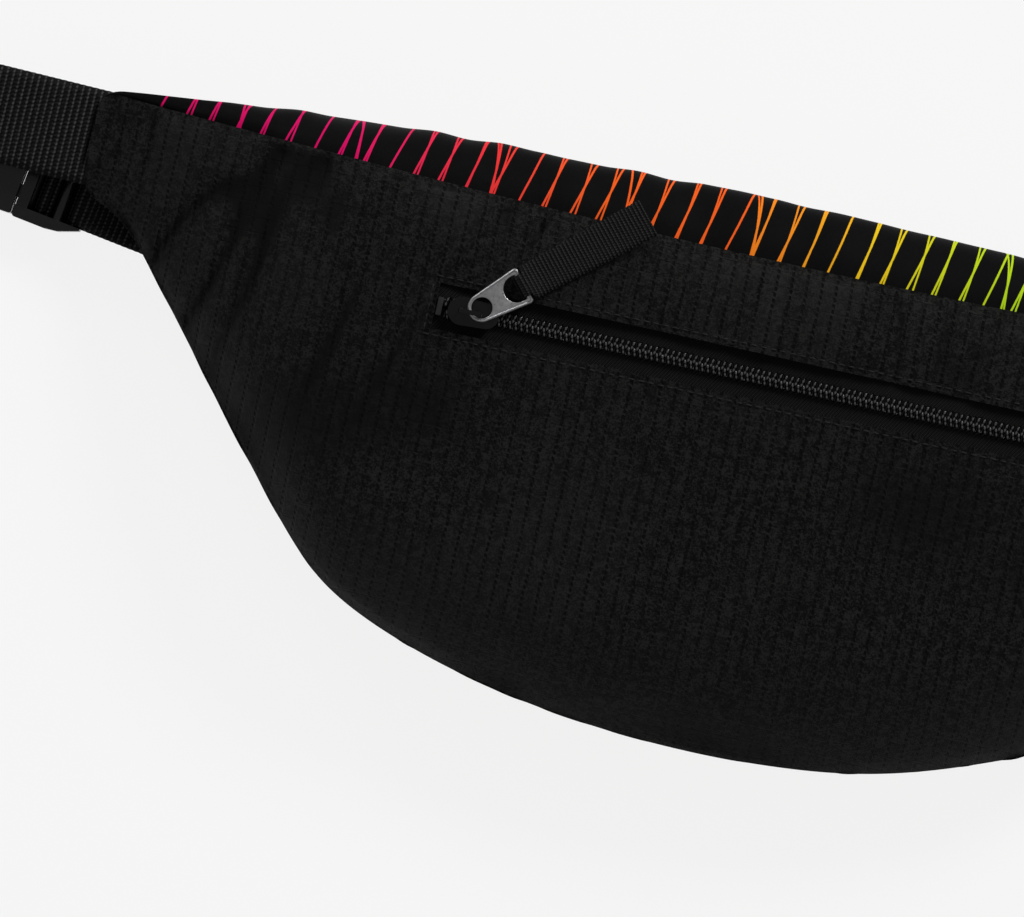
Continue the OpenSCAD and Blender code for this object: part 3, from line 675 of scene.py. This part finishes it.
def printed(name, rows):
    """Cloth with the strokes in black, in rows across it where rows is true."""
    g = Nodes(name, (0.005, 0.005, 0.0052), 0.55, Specular_IOR_Level=0.04)
    vec, u, v = g.flat()[:3]
    keep = g.math("LESS_THAN", g.math("ABSOLUTE", u), PRINT_END)
    if rows:
        keep = g.math("MULTIPLY", keep, g.math("GREATER_THAN", v, PRINT_START))
        band = g.math("FLOOR", g.math("DIVIDE", v, PRINT_ROW))
        v = g.math("SUBTRACT", v, g.math("MULTIPLY", band, PRINT_ROW))
        u = g.math("ADD", u, g.math("MULTIPLY", band, 2.9))
    a, pick = stroke(g, u, v, 6.9, 0.16, 0.0, 11.0, 1.1, 0.06)
    b = stroke(g, u, v, 34.5, -0.04, 5.0, 37.0, 0.8, 0.05)[0]
    mask = g.math("MULTIPLY", g.math("MAXIMUM", a, b), keep)
    ramp = g.node("ShaderNodeValToRGB")
    e = ramp.color_ramp.elements
    while len(e) > 1:
        e.remove(e[-1])
    for k, col in enumerate(PRINT_COLORS):
        pos = k / (len(PRINT_COLORS) - 1)
        stop = e[0] if k == 0 else e.new(pos)
        stop.position = pos
        stop.color = (*col, 1)
    shade = g.math("ADD", u, g.math("MULTIPLY", g.math("SUBTRACT", pick, 0.5), 9.0))
    lin = g.node("ShaderNodeMapRange")
    for val, sock in zip((shade, -HALF, HALF, 0.0, 1.0), lin.inputs):
        g.link(val, sock)
    g.tree.links.new(lin.outputs[0], ramp.inputs[0])
    grain = g.noise(vec, 4.0, 2.0)
    black = g.blend(g.ramp(grain, 0.3, 0.7), (0.0008, 0.0008, 0.0009), (0.0034, 0.0034, 0.0035))
    g.color(g.blend(mask, black, ramp.outputs[0]))
    fine = weave(g, u, v, 0.5, 0.5)
    g.bump(g.math("ADD", g.math("MULTIPLY", fine, 0.3), g.math("MULTIPLY", grain, 0.3)), 0.35, 0.00015)
    return g.mat


def woven(name, color, pitch, strength, rough=0.6, across=1.0):
    """Webbing, ribbon and elastic: the mesh has the ribs, and this has each rib's slanted turns of yarn, with
    painted shade in the grooves and a painted highlight on the crests, over a random grain.
    """
    g = Nodes(name, color, rough, Specular_IOR_Level=0.13)
    vec, u, v = g.flat()[:3]
    turn = g.math("ADD", g.math("DIVIDE", v, across), g.math("MULTIPLY", g.math("DIVIDE", u, pitch), 0.5))
    yarn = g.math("SINE", g.math("MULTIPLY", turn, 2 * math.pi))
    rib = g.math("COSINE", g.math("MULTIPLY", u, 2 * math.pi / pitch))
    grain = g.noise(vec, 1.6, 3.0, 0.7)
    # Painted shade in the rib grooves and painted highlight on the rib crests and yarn turns, mixed with a
    # random grain, set the colour.
    painted_rib_light_and_grain = g.math("ADD", rib, g.math("MULTIPLY", yarn, 0.28))
    painted_rib_light_and_grain = g.math("ADD", painted_rib_light_and_grain, g.math("MULTIPLY", g.math("SUBTRACT", grain, 0.5), 1.2))
    dark = tuple(c * 0.02 for c in color)
    light = tuple(c * 6.5 for c in color)
    g.color(g.blend(g.ramp(painted_rib_light_and_grain, 0.3, 1.35), dark, light))
    g.rough(g.ramp(grain, 0.3, 0.7, rough - 0.12, rough + 0.14))
    g.bump(g.math("ADD", g.math("MULTIPLY", yarn, 0.15), grain), strength, 0.0003)
    return g.mat


def tape_cloth():
    g = Nodes("zip_tape_cloth", (0.005, 0.005, 0.0052), 0.7, Specular_IOR_Level=0.12)
    vec, x, y, z = g.place()
    tw = weave(g, g.math("ADD", x, g.math("MULTIPLY", y, 0.6)), g.math("SUBTRACT", y, z), 0.85, 0.7)
    grain = g.noise(vec, 2.6, 3.0, 0.65)
    h = g.math("ADD", g.math("MULTIPLY", tw, 0.6), grain)
    # The colour follows the weave's height over a random grain: painted highlight on the raised yarn and
    # painted shade between.
    g.color(g.blend(g.ramp(h, 0.25, 1.15), (0.001, 0.001, 0.001), (0.0175, 0.0175, 0.017)))
    g.bump(h, 1.0, 0.0004)
    return g.mat


def nylon(name, color, rough, coat=0.0, scuff=0.06):
    g = Nodes(name, color, rough, Coat_Weight=coat, Coat_Roughness=0.12, Specular_IOR_Level=0.35)
    vec = g.place()[0]
    grain = g.noise(vec, 1.3, 3.0, 0.6)
    wear = g.noise(vec, 0.35, 4.0, 0.7)
    g.rough(g.ramp(wear, 0.3, 0.75, rough - scuff, rough + scuff * 2))
    g.color(g.blend(g.ramp(wear, 0.45, 0.9), color, tuple(min(1, c * 1.8 + 0.002) for c in color)))
    g.bump(grain, 0.06, 0.0001)
    return g.mat


def coil_nylon():
    """Glossy filament, with a painted highlight where its turns stand highest."""
    g = Nodes("coil_nylon", (0.003, 0.003, 0.0031), 0.2, Specular_IOR_Level=0.4)
    height = g.flat()[3]
    # Painted highlight: the colour lightens where the coil's turns stand highest.
    g.color(g.blend(g.ramp(height, 1.2, 1.5), (0.0012, 0.0012, 0.0012), (0.058, 0.058, 0.058)))
    return g.mat


def metal(name, color, rough, metallic=1.0):
    g = Nodes(name, color, rough, Metallic=metallic)
    vec = g.place()[0]
    streak = g.noise(vec, 1.1, 4.0, 0.65)
    pits = g.noise(vec, 6.0, 2.0)
    g.rough(g.ramp(streak, 0.3, 0.7, rough - 0.06, rough + 0.1))
    g.color(g.blend(g.ramp(streak, 0.35, 0.8), tuple(c * 0.86 for c in color), color))
    g.bump(pits, 0.08, 0.0001)
    return g.mat


def lining_cloth():
    g = Nodes("lining_cloth", (0.035, 0.035, 0.038), 0.7, Specular_IOR_Level=0.25, Sheen_Weight=0.15)
    vec, u, v = g.flat()[:3]
    fine = weave(g, u, v, 0.8, 0.8)
    grain = g.noise(vec, 1.6, 3.0)
    g.color(g.blend(g.ramp(grain, 0.3, 0.7), (0.026, 0.026, 0.028), (0.05, 0.05, 0.053)))
    g.bump(g.math("ADD", g.math("MULTIPLY", fine, 0.5), grain), 0.4, 0.0002)
    return g.mat


def floor_material():
    g = Nodes("floor_white", (0.1, 0.1, 0.1), 0.9, Specular_IOR_Level=0.0,
              Emission_Color=(1, 1, 1, 1), Emission_Strength=0.85)
    vec = g.place()[0]
    g.color(g.blend(g.ramp(g.noise(vec, 0.01, 2.0), 0.3, 0.7), (0.099, 0.099, 0.099), (0.101, 0.101, 0.101)))
    return g.mat


RIPSTOP = ripstop()
PRINT = printed("printed_cloth", True)
STRIP = printed("printed_strip_cloth", False)
LINING = lining_cloth()
BINDING = woven("binding_tape", (0.006, 0.006, 0.0065), 1.0, 0.5)
TAPE = tape_cloth()
COIL = coil_nylon()
STOPS = nylon("stop_nylon", (0.014, 0.014, 0.015), 0.35)
WEBBING = woven("belt_webbing", (0.0078, 0.0078, 0.008), WEB_RIB, 1.0, 0.5, 1.1)
RIBBON = woven("puller_ribbon", (0.0042, 0.0042, 0.0043), RIBBON_RIB, 0.8, 0.55, 0.7)
ELASTIC = woven("keeper_elastic", (0.008, 0.008, 0.0085), 1.1, 0.7, 0.6, 0.8)
THREAD = nylon("sewing_thread", (0.0035, 0.0035, 0.0036), 0.6)
BUCKLE = nylon("buckle_acetal", (0.0035, 0.0035, 0.0037), 0.22, 0.1)
LACQUER = metal("slider_lacquer", (0.005, 0.005, 0.0053), 0.2, 0.5)
SILVER = metal("puller_zinc", (0.44, 0.44, 0.45), 0.32)

# ---------------------------------------------------------------- cloth panels
fine_x = np.concatenate([
    np.linspace(-HALF, -170, 20, endpoint=False), np.linspace(-170, -WINDOW_X, 58, endpoint=False),
    np.linspace(-WINDOW_X, WINDOW_X, 118, endpoint=False), np.linspace(WINDOW_X, 170, 58, endpoint=False),
    np.linspace(170, HALF, 21)])


def back_rows(x):
    a, b = corners(x)[:2]
    h = a[0] - b[0]
    k = smooth((np.abs(x) - 94) / 50)
    return mix((a[0] - WINDOW_Y) / h, 0.24, k), mix((a[0] + WINDOW_Y) / h, 0.36, k)


def back_panel():
    x = fine_x[:, None]
    s1, s2 = back_rows(x)
    t1 = np.linspace(0, 1, 19)[None, :] ** 1.25
    t2 = np.linspace(0, 1, 9)[None, 1:]
    t3 = np.linspace(0, 1, 53)[None, 1:]
    s = np.concatenate([s1 * t1, mix(s1, s2, t2), mix(s2, 1.0, 1 - (1 - t3) ** 1.12)], 1)
    X = np.broadcast_to(x, s.shape)
    y = section(X, np.minimum(s, 0.9999))[0]
    lift = back_puckers(X, y)
    fold = np.hypot(np.maximum(0, np.abs(X) - WINDOW_X), np.maximum(0, np.abs(y) - WINDOW_Y))
    lift = lift + 0.12 * np.exp(-fold / 1.6) * (np.abs(X) < 100)
    u = np.minimum(s, 0.99999)
    u[:, -1] = 1.0
    u[:, 0] = 0.0
    outer, inner = outward(X, u, 0, lift), outward(X, u, SKIN, lift)
    mask = np.ones((s.shape[0] - 1, s.shape[1] - 1), bool)
    mid = (fine_x[:-1] + fine_x[1:]) / 2
    mask[np.abs(mid) < WINDOW_X, 18:26] = False
    # The lift also goes into the cloth coordinates, where the ripstop material paints shade in the creases
    # and a highlight on the raised cloth.
    return shell("cloth_back_panel", outer, inner, flat_coords(outer, lift), RIPSTOP, mask)


place(back_panel(), "pack", "back_cloth", "back_panel")

front_us = np.concatenate([1 + 0.4 * np.linspace(0, 1, 34) ** 1.15, np.linspace(1.4, 2, 40)[1:]])
place(sheet("cloth_front_panel", fine_x, front_us, 0, SKIN, PRINT, front_puckers),
      "pack", "print_cloth", "front_panel")

strip_us = np.linspace(3, 4, 22)
for side, name, swapped in ((-1, "left", ("top_strip_left", "top_strip_middle")),
                            (1, "right", ("top_strip_right",))):
    xs = np.linspace(-HALF, 0, 150) if side < 0 else np.linspace(0, HALF, 150)
    piece = sheet("cloth_top_strip_" + name, xs, strip_us, 0, SKIN, STRIP,
                  strip_puckers, from_end=True)
    bend_with_flap(piece, swapped)

for side in (-1, 1):
    xs = np.linspace(ZIP_END, HALF, 30) * side
    tab = sheet("cloth_zip_tab_" + ("left" if side < 0 else "right"), sorted(xs), np.linspace(2, 3, 9),
                0, SKIN, PRINT)
    place(tab, "pack", "print_cloth", "zip_end_tabs")

# Linings
lin_x = np.linspace(-168, 168, 140)
place(sheet("lining_main", lin_x, np.linspace(1.04, 1.97, 48), LINING_INSET, LINING_T, LINING,
            lambda X, Y, U: -0.5 * np.abs(noise(X / 22, U * 6, 41)) - 0.2 * np.abs(noise(X / 9, U * 14, 42))),
      "pack", "lining_cloth", "main_lining")


def pocket_bag():
    X, U = grid(np.linspace(-160, 160, 120), np.linspace(0.04, 0.95, 40))
    sag = 2.7 + 5 * np.sin(math.pi * U) * smooth((160 - np.abs(X)) / 45)
    sag = sag + 0.5 * np.abs(noise(X / 20, U * 7, 43)) * smooth(np.minimum(U, 1 - U) / 0.2)
    outer, inner = outward(X, U, sag), outward(X, U, sag + LINING_T)
    return shell("lining_back_pocket", outer, inner, flat_coords(outer), LINING)


place(pocket_bag(), "pack", "lining_cloth", "pocket_lining")
place(sheet("lining_strip", np.linspace(-108.5, 108.5, 90), np.linspace(3.12, 3.93, 14), LINING_INSET,
            LINING_T, LINING),
      "main_flap", "lining_cloth", "strip_lining")
place(sheet("slip_pocket", np.linspace(-55, 55, 60), np.linspace(1.43, 1.74, 16), 1.9, 0.4, LINING,
            lambda X, Y, U: -0.3 * np.abs(noise(X / 12, U * 9, 44))),
      "pack", "lining_cloth", "inner_slip_pocket")
place(sheet("binding_bottom_seam", np.linspace(-160, 160, 160), np.linspace(0.965, 1.02, 8), 2.3, 0.7,
            BINDING), "pack", "binding_tape", "hem_binding")


# ---------------------------------------------------------------- zippers
def back_frame(p, x=0.0):
    return np.asarray(p, float) + np.array([x, 0, DEPTH - SKIN - 0.4])


def main_frame(p, x=0.0):
    p = np.asarray(p, float)
    k = math.sqrt(0.5)
    return np.stack([p[..., 0] + x, BAND_Y - k * p[..., 1] + k * p[..., 2],
                     BAND_Z - k * p[..., 1] - k * p[..., 2]], -1)


PITCH = 1.5


def coil_path(x1, x2, side, splay=None):
    """The bent filament of one half of a coil zipper, as a flattened spring."""
    n = int((x2 - x1) / PITCH)
    turn = [(1.8, 0.34, 0.0), (1.1, 0.32, 0.05), (0.2, 0.34, 0.12), (-0.2, 0.5, 0.22), (-0.24, 0.75, 0.3),
            (-0.16, 1.0, 0.38), (0.3, 1.25, 0.46), (0.8, 0.92, 0.56), (1.3, 1.22, 0.68), (1.8, 0.92, 0.8),
            (1.95, 0.65, 0.9)]
    pts = []
    off = 0.0 if side > 0 else 0.5
    for i in range(n):
        for y, z, f in turn:
            x = x1 + (i + f * 0.82 + off) * PITCH
            if x > x2:
                break
            sp = 0.0 if splay is None else splay(x)
            pts.append((x, side * (y + sp), z + 0.02))
    return np.array(pts)


def coil_piece(name, x1, x2, side, where, splay=None):
    v, f = tube(coil_path(x1, x2, side, splay), 0.33, 6)
    return new_object(name, row(where(v)), f, COIL, v)


def back_splay(x):
    return 0.9 * float(smooth((-81.0 - x) / 3.0)) * float(smooth((x + 88.5) / 3.0))


for side, name in ((1, "upper"), (-1, "lower")):
    ob = coil_piece("coil_back_" + name, -BACK_COIL, BACK_COIL, side, back_frame, back_splay)
    place(ob, "pack", "zip_coil", "back_zip_coil_" + name)
place(coil_piece("coil_main_lower", -MAIN_COIL, MAIN_COIL, 1, main_frame), "pack", "zip_coil",
      "main_zip_coil_lower")


def tape_piece(name, x1, x2, side, reach, where):
    X, V = grid(np.linspace(x1, x2, max(2, int((x2 - x1) / 2))), np.linspace(COIL_GAP, reach, 7))
    wave = 0.06 * noise(X / 7, V / 6, 51) * smooth((V - 2.5) / 3)
    up = where(np.stack([X, side * V, wave], -1))
    low = where(np.stack([X, side * V, wave - TAPE_T], -1))
    return shell(name, up, low, np.stack([X, V, np.zeros_like(X)], -1), TAPE)


for side, name in ((1, "upper"), (-1, "lower")):
    ob = tape_piece("tape_back_" + name, -BACK_CHAIN, BACK_CHAIN, side, 9.0, back_frame)
    place(ob, "pack", "zip_tape", "back_zip_tape_" + name)
place(tape_piece("tape_main_lower", -ZIP_END, ZIP_END, 1, 5.6, main_frame), "pack", "zip_tape",
      "main_zip_tape_lower")
for side, name, coil_nodes, tape_nodes in (
        (-1, "left", ("main_zip_coil_upper",), ("main_zip_tape_upper",)),
        (1, "right", ("main_zip_coil_upper_ends",), ("main_zip_tape_upper_ends",))):
    x1, x2 = (-MAIN_COIL, 0.0) if side < 0 else (0.0, MAIN_COIL)
    coil = coil_piece("coil_main_upper_" + name, x1, x2, -1, main_frame)
    x1, x2 = (-ZIP_END, 0.0) if side < 0 else (0.0, ZIP_END)
    tape = tape_piece("tape_main_upper_" + name, x1, x2, -1, 5.6, main_frame)
    for piece, slot_name, swapped in ((coil, "zip_coil", coil_nodes), (tape, "zip_tape", tape_nodes)):
        bend_with_flap(piece, swapped)

for node in ("back_zip_stops", "main_zip_stops"):
    place(rounded("crimped_" + node, node, 0.25, STOPS), "pack", "zip_stop", node)

# ---------------------------------------------------------------- sliders and pullers
for which in ("back", "main"):
    node = which + "_slider"
    place(rounded("zinc_slider_" + which, node, 0.22, LACQUER), node, "slider_metal", node)

# The pullers: yaw in the zipper's plane, tilt down to the cloth, and their pivots
YAW, MAIN_YAW, TILT = math.radians(41), math.radians(171), math.radians(3)
BACK_PIVOT_X, MAIN_PIVOT_X, PIVOT_Z = -79.3, -131.3, 2.1 + 1 + 1.2
BAR_X = 15.05


def puller_frame_back(p):
    p = np.asarray(p, float)
    c, s = math.cos(TILT), math.sin(TILT)
    x, y, z = p[..., 0] * c + p[..., 2] * s, p[..., 1], -p[..., 0] * s + p[..., 2] * c
    c, s = math.cos(YAW), math.sin(YAW)
    q = np.stack([x * c - y * s, x * s + y * c, z + PIVOT_Z], -1)
    return back_frame(q, BACK_PIVOT_X)


def puller_frame_main(p):
    p = np.asarray(p, float)
    c, s = math.cos(MAIN_YAW), math.sin(MAIN_YAW)
    q = np.stack([p[..., 0] * c - p[..., 1] * s, p[..., 0] * s + p[..., 1] * c, p[..., 2] + PIVOT_Z], -1)
    return main_frame(q, MAIN_PIVOT_X)


def outline(inset, n=18):
    """The puller's tapered outline, from its round end to its square end."""
    cx, r, wide, end = 2.85, 3.7, 5.0, 15.7
    a0 = math.atan2(wide - r, 14.7 - cx)
    pts = []
    for k in range(n + 1):
        a = math.pi / 2 + a0 * 0.9 + (math.pi - 1.8 * a0) * k / n
        pts.append((cx + (r - inset) * math.cos(a), (r - inset) * math.sin(a)))
    for cy, a1, a2 in ((-(wide - 1), -math.pi / 2, 0), (wide - 1, 0, math.pi / 2)):
        for k in range(5):
            a = a1 + (a2 - a1) * k / 4
            pts.append((end - 1 + (1 - inset) * math.cos(a), cy + (1 - inset) * math.sin(a)))
    return pts


def puller(name, where, node, body):
    """Cast puller: a thin web with two openings inside a raised rim."""
    plate = rounded(name + "_plate", node, 0.2, SILVER)
    middle, above = row(where([[0, 0, 0.0], [0, 0, 1.0]]))
    up = (above - middle) / np.linalg.norm(above - middle)
    for v in plate.data.vertices:
        v.co -= Vector(up * (0.42 * float((np.array(v.co) - middle) @ up)))
    rim = np.array([(x, y, 0.0) for x, y in outline(0.36)])
    dense = []
    for i in range(len(rim)):
        a, b = rim[i], rim[(i + 1) % len(rim)]
        n = max(1, int(np.linalg.norm(b - a) / 0.8))
        dense += [a + (b - a) * k / n for k in range(n)]
    v, f = tube(np.array(dense), 0.42, 8, closed=True)
    v[:, 2] *= 1.7
    edge = new_object(name + "_rim", row(where(v)), f, SILVER)
    place(plate, body, "puller_metal", node)
    place(edge, body, "puller_metal")


puller("zinc_puller_back", puller_frame_back, "back_puller", "back_puller")
puller("zinc_puller_main", puller_frame_main, "main_puller", "main_puller")


def ribbon(name, where, droop, node, body):
    """Ribbed ribbon folded round the puller's end bar, both plies sewn together."""
    gap, r, start = 0.42, 1.45, 4.5
    path = []
    for k in range(18):
        s = start + (RIBBON_L - start) * (1 - k / 17)
        path.append((BAR_X + s, -gap - droop(s)))
    for k in range(9):
        a = -math.pi * 0.62 - (math.pi * 0.76) * k / 8
        path.append((BAR_X + r * math.cos(a), r * math.sin(a)))
    for k in range(18):
        s = start + (RIBBON_L - start) * k / 17
        path.append((BAR_X + s, gap - droop(s)))
    p = np.array([(x, 0.0, z, 0.0) for x, z in path])
    dense, at = spline(p, RIBBON_RIB / 6)
    n = len(dense)
    t = np.gradient(dense[:, [0, 2]], axis=0)
    t /= np.linalg.norm(t, axis=1)[:, None]
    up = np.stack([-t[:, 1], np.zeros(n), t[:, 0]], -1)
    phase = at / RIBBON_RIB * 2 * math.pi
    far = dense[:, 0] - BAR_X
    w = mix(6.1, 9.3, smooth((far - 0.9) / 0.7)) + 1.0 * smooth(far / 34)
    th = 0.36
    cols = np.linspace(-1, 1, 11)
    V, F = [], []
    for sign in (1, -1):
        for c in (cols if sign > 0 else cols[::-1]):
            h = th - 0.2 * (0.5 - 0.5 * np.cos(phase + 0.25 * math.sin(c * 4)))
            h = h * (1 - 0.3 * abs(c) ** 12)
            q = dense[:, :3] + up * (sign * h)[:, None]
            q[:, 1] += c * w / 2 + 0.1 * np.cos(phase) * (abs(c) > 0.99) * c
            V.append(q)
            F.append(np.stack([at, c * w / 2, np.zeros(n)], -1))
    m = len(V)
    V, F = np.stack(V, 1), np.stack(F, 1)
    faces = [(i * m + j, i * m + (j + 1) % m, (i + 1) * m + (j + 1) % m, (i + 1) * m + j)
             for i in range(n - 1) for j in range(m)]
    faces += [tuple(range(m))[::-1], tuple((n - 1) * m + j for j in range(m))]
    ob = new_object(name, row(where(V.reshape(-1, 3))), faces, RIBBON, F.reshape(-1, 3))
    return place(ob, body, "ribbon", node)


ribbon("ribbon_back", puller_frame_back, lambda s: 0.7 * (max(0, s - 4) / 33) ** 1.6,
       "back_ribbon", "back_ribbon")
ribbon("ribbon_main", puller_frame_main, lambda s: 0.4 * (max(0, s - 4) / 33) ** 2,
       "main_ribbon", "main_ribbon")

# ---------------------------------------------------------------- belt
SLOPE = math.tan(SLANT)
STRAIGHT = 120.0


def run_y(x):
    a = abs(x)
    if a >= STRAIGHT:
        return BUCKLE_Y + (a + BUCKLE_X) * SLOPE
    return run_y(STRAIGHT) - SLOPE * (STRAIGHT ** 2 - a * a) / (2 * STRAIGHT)


def run_angle(x):
    return (-1 if x < 0 else 1) * math.atan(SLOPE * min(1, abs(x) / STRAIGHT))


def upper_y(x):
    return 24 + (abs(x) - HALF) * 0.026


def turn_x(low):
    return FOLD_X - WEB_T / 2 - (RUN_Z - low) / 2


def upper_run(side, low):
    out = []
    for i in range(9):
        a = mix(175.0, turn_x(low), i / 8)
        out.append((side * a, upper_y(a), mix(WING_WEB_Z, RUN_Z, float(smooth((a - HALF) / 50))),
                    side * math.atan(0.026)))
    return out


def fold_turn(side, low):
    a, r = turn_x(low), (RUN_Z - low) / 2
    out = []
    for i in range(1, 10):
        k = i / 10
        out.append((side * (a + r * math.sin(math.pi * k)), mix(upper_y(a), run_y(a), k),
                    (RUN_Z + low) / 2 + r * math.cos(math.pi * k),
                    side * mix(math.atan(0.026), SLANT, float(smooth(k)))))
    return out


def from_buckle(x, z):
    return (BUCKLE_X + x * math.cos(SLANT), BUCKLE_Y - x * math.sin(SLANT), z, -SLANT)


BAR = (-59.4, 6.0)
short = upper_run(-1, 3.1) + fold_turn(-1, 3.1)
short += [from_buckle(-78, 3.1), from_buckle(-70, 3.3), from_buckle(-66, 4.4)]
short += [from_buckle(BAR[0] + 2.4 * math.cos(math.radians(130 - 32 * i)),
                      BAR[1] + 2.4 * math.sin(math.radians(130 - 32 * i))) for i in range(9)]
short += [from_buckle(-63.5, 1.9), from_buckle(-67, 0.95), from_buckle(-78, 0.95)]
place(ribbed_strap("webbing_short", short, WEB_W, WEB_T, WEB_RIB, WEB_GROOVE, WEBBING), "pack", "webbing",
      "belt_short")

a0 = turn_x(0.75)
long_path = upper_run(1, 0.75) + fold_turn(1, 0.75) + [(a0, run_y(a0), 0.75, SLANT)]
x = a0 - 8
while x >= -100:
    long_path.append((x, run_y(x), 0.75, run_angle(x)))
    x -= 20
for x in (-106, -111, -116, -121, -126):
    z = mix(STRAP_Z, 0.75, float(smooth((x + STRAIGHT) / 14)))
    long_path.append((x, run_y(x), z, run_angle(x)))
long_path.append(from_buckle(16, STRAP_Z))
long_belt = ribbed_strap("webbing_long", long_path, WEB_W, WEB_T, WEB_RIB, WEB_GROOVE, WEBBING)
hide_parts("belt_long")
tuple(row([-20.0, run_y(20), 0.75]))
tuple(row([-140.0, run_y(140), STRAP_Z]))
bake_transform(long_belt)

adjuster = [(15.5, STRAP_Z), (10, 4), (5, 6), (2.4, 7.9), (0.6, 8.7), (-1.3, 8), (-2.6, 5.9), (-4.2, 4.9),
            (-6, 5.6), (-7.2, 7.1), (-8.6, 7.9), (-10.5, 7.2), (-11.3, 5.2), (-10.6, 3.1), (-8.6, 2),
            (-5, TAIL_Z), (6, TAIL_Z), (20, TAIL_Z), (40, TAIL_Z), (62, TAIL_Z)]
place(ribbed_strap("webbing_adjuster", [from_buckle(*p) for p in adjuster], WEB_W + 0.9, WEB_T, WEB_RIB,
                   WEB_GROOVE, WEBBING), "buckle_male", "webbing", "adjuster_webbing")
place(rounded("elastic_keeper", "strap_keeper", 0.3, ELASTIC), "keeper", "keeper_elastic", "strap_keeper")

# ---------------------------------------------------------------- buckle
for node, body, w in (("buckle_socket", "pack", 0.6), ("buckle_plug", "buckle_male", 0.8),
                      ("buckle_prong_upper", "prong_upper", 0.5), ("buckle_prong_lower", "prong_lower", 0.5)):
    place(rounded("moulded_" + node, node, w, BUCKLE), body, "buckle_plastic", node)


# ---------------------------------------------------------------- stitching
def stitches(name, line, lift, length=1.9, gap=0.7, radius=0.2):
    """A row of short sewn capsules along a line of points, in millimetres."""
    line = np.asarray(line, float)
    seg = np.linalg.norm(np.diff(line, axis=0), axis=1)
    s = np.concatenate([[0], np.cumsum(seg)])
    parts = []
    at = 0.4
    while at + length < s[-1]:
        t = np.linspace(at, at + length, 7)
        p = np.stack([np.interp(t, s, line[:, k]) for k in range(3)], -1)
        arch = np.sin(np.linspace(0, math.pi, 7))
        p[:, 2] += lift - 0.22 + 0.3 * arch
        parts.append(tube(p, radius * (0.45 + 0.55 * arch), 6))
        at += length + gap
    v, f = joined(parts)
    return place(new_object(name, row(v), f, THREAD), "pack", "binding_tape")


def on_back(x, y):
    x, y = np.asarray(x, float), np.asarray(y, float)
    return np.stack([x, y, back_height(x, y) + back_puckers(x, y)], -1)


def box_line(dx, dy, n=60):
    top = [(x, dy) for x in np.linspace(-dx, dx, n)]
    right = [(dx, y) for y in np.linspace(dy, -dy, 10)][1:]
    low = [(x, -dy) for x in np.linspace(dx, -dx, n)][1:]
    left = [(-dx, y) for y in np.linspace(-dy, dy, 10)][1:]
    pts = np.array(top + right + low + left)
    return on_back(pts[:, 0], pts[:, 1])


stitches("stitch_window", box_line(WINDOW_X + 1.7, WINDOW_Y + 1.7, 120), 0.12)

# ---------------------------------------------------------------- set
bpy.ops.mesh.primitive_plane_add(size=6, location=(0, 0, 0))
floor = bpy.context.object
floor.name = "floor"
floor.data.materials.append(floor_material())

# The camera looks straight down from AWAY metres, at a point and over a width in millimetres
VIEW_X, VIEW_Y, VIEW_W, ROLL = -61.1, -34.5, 265.3, math.radians(12.5)
AWAY = 2.5
cam = bpy.data.cameras.new("camera")
cam.sensor_width = 36
cam.lens = 36 * AWAY / (VIEW_W * MM)
cam.clip_start, cam.clip_end = 0.05, 50
cam_ob = bpy.data.objects.new("camera", cam)
bpy.context.scene.collection.objects.link(cam_ob)
cx, cy = row([VIEW_X, VIEW_Y, 0])[:2]
cam_ob.location = (cx, cy, AWAY + DEPTH * MM)
cam_ob.rotation_euler = (0, 0, ROLL)
bpy.context.scene.camera = cam_ob


def area(name, place_at, size, power, target=(0, 0, 0.02)):
    lamp = bpy.data.lights.new(name, "AREA")
    lamp.shape = "DISK"
    lamp.size = size
    lamp.energy = power
    ob = bpy.data.objects.new(name, lamp)
    ob.location = place_at
    ob.rotation_euler = (Vector(target) - Vector(place_at)).to_track_quat("-Z", "Y").to_euler()
    bpy.context.scene.collection.objects.link(ob)
    return ob


area("key", (0.9, 1.4, 1.15), 0.6, 25)
area("rim", (-1.2, 1.5, 0.8), 0.5, 9)
world = bpy.data.worlds.new("studio")
world.use_nodes = True
world.node_tree.nodes["Background"].inputs[0].default_value = (1, 1, 1, 1)
world.node_tree.nodes["Background"].inputs[1].default_value = 0.3
bpy.context.scene.world = world
bpy.context.scene.view_settings.view_transform = "Standard"
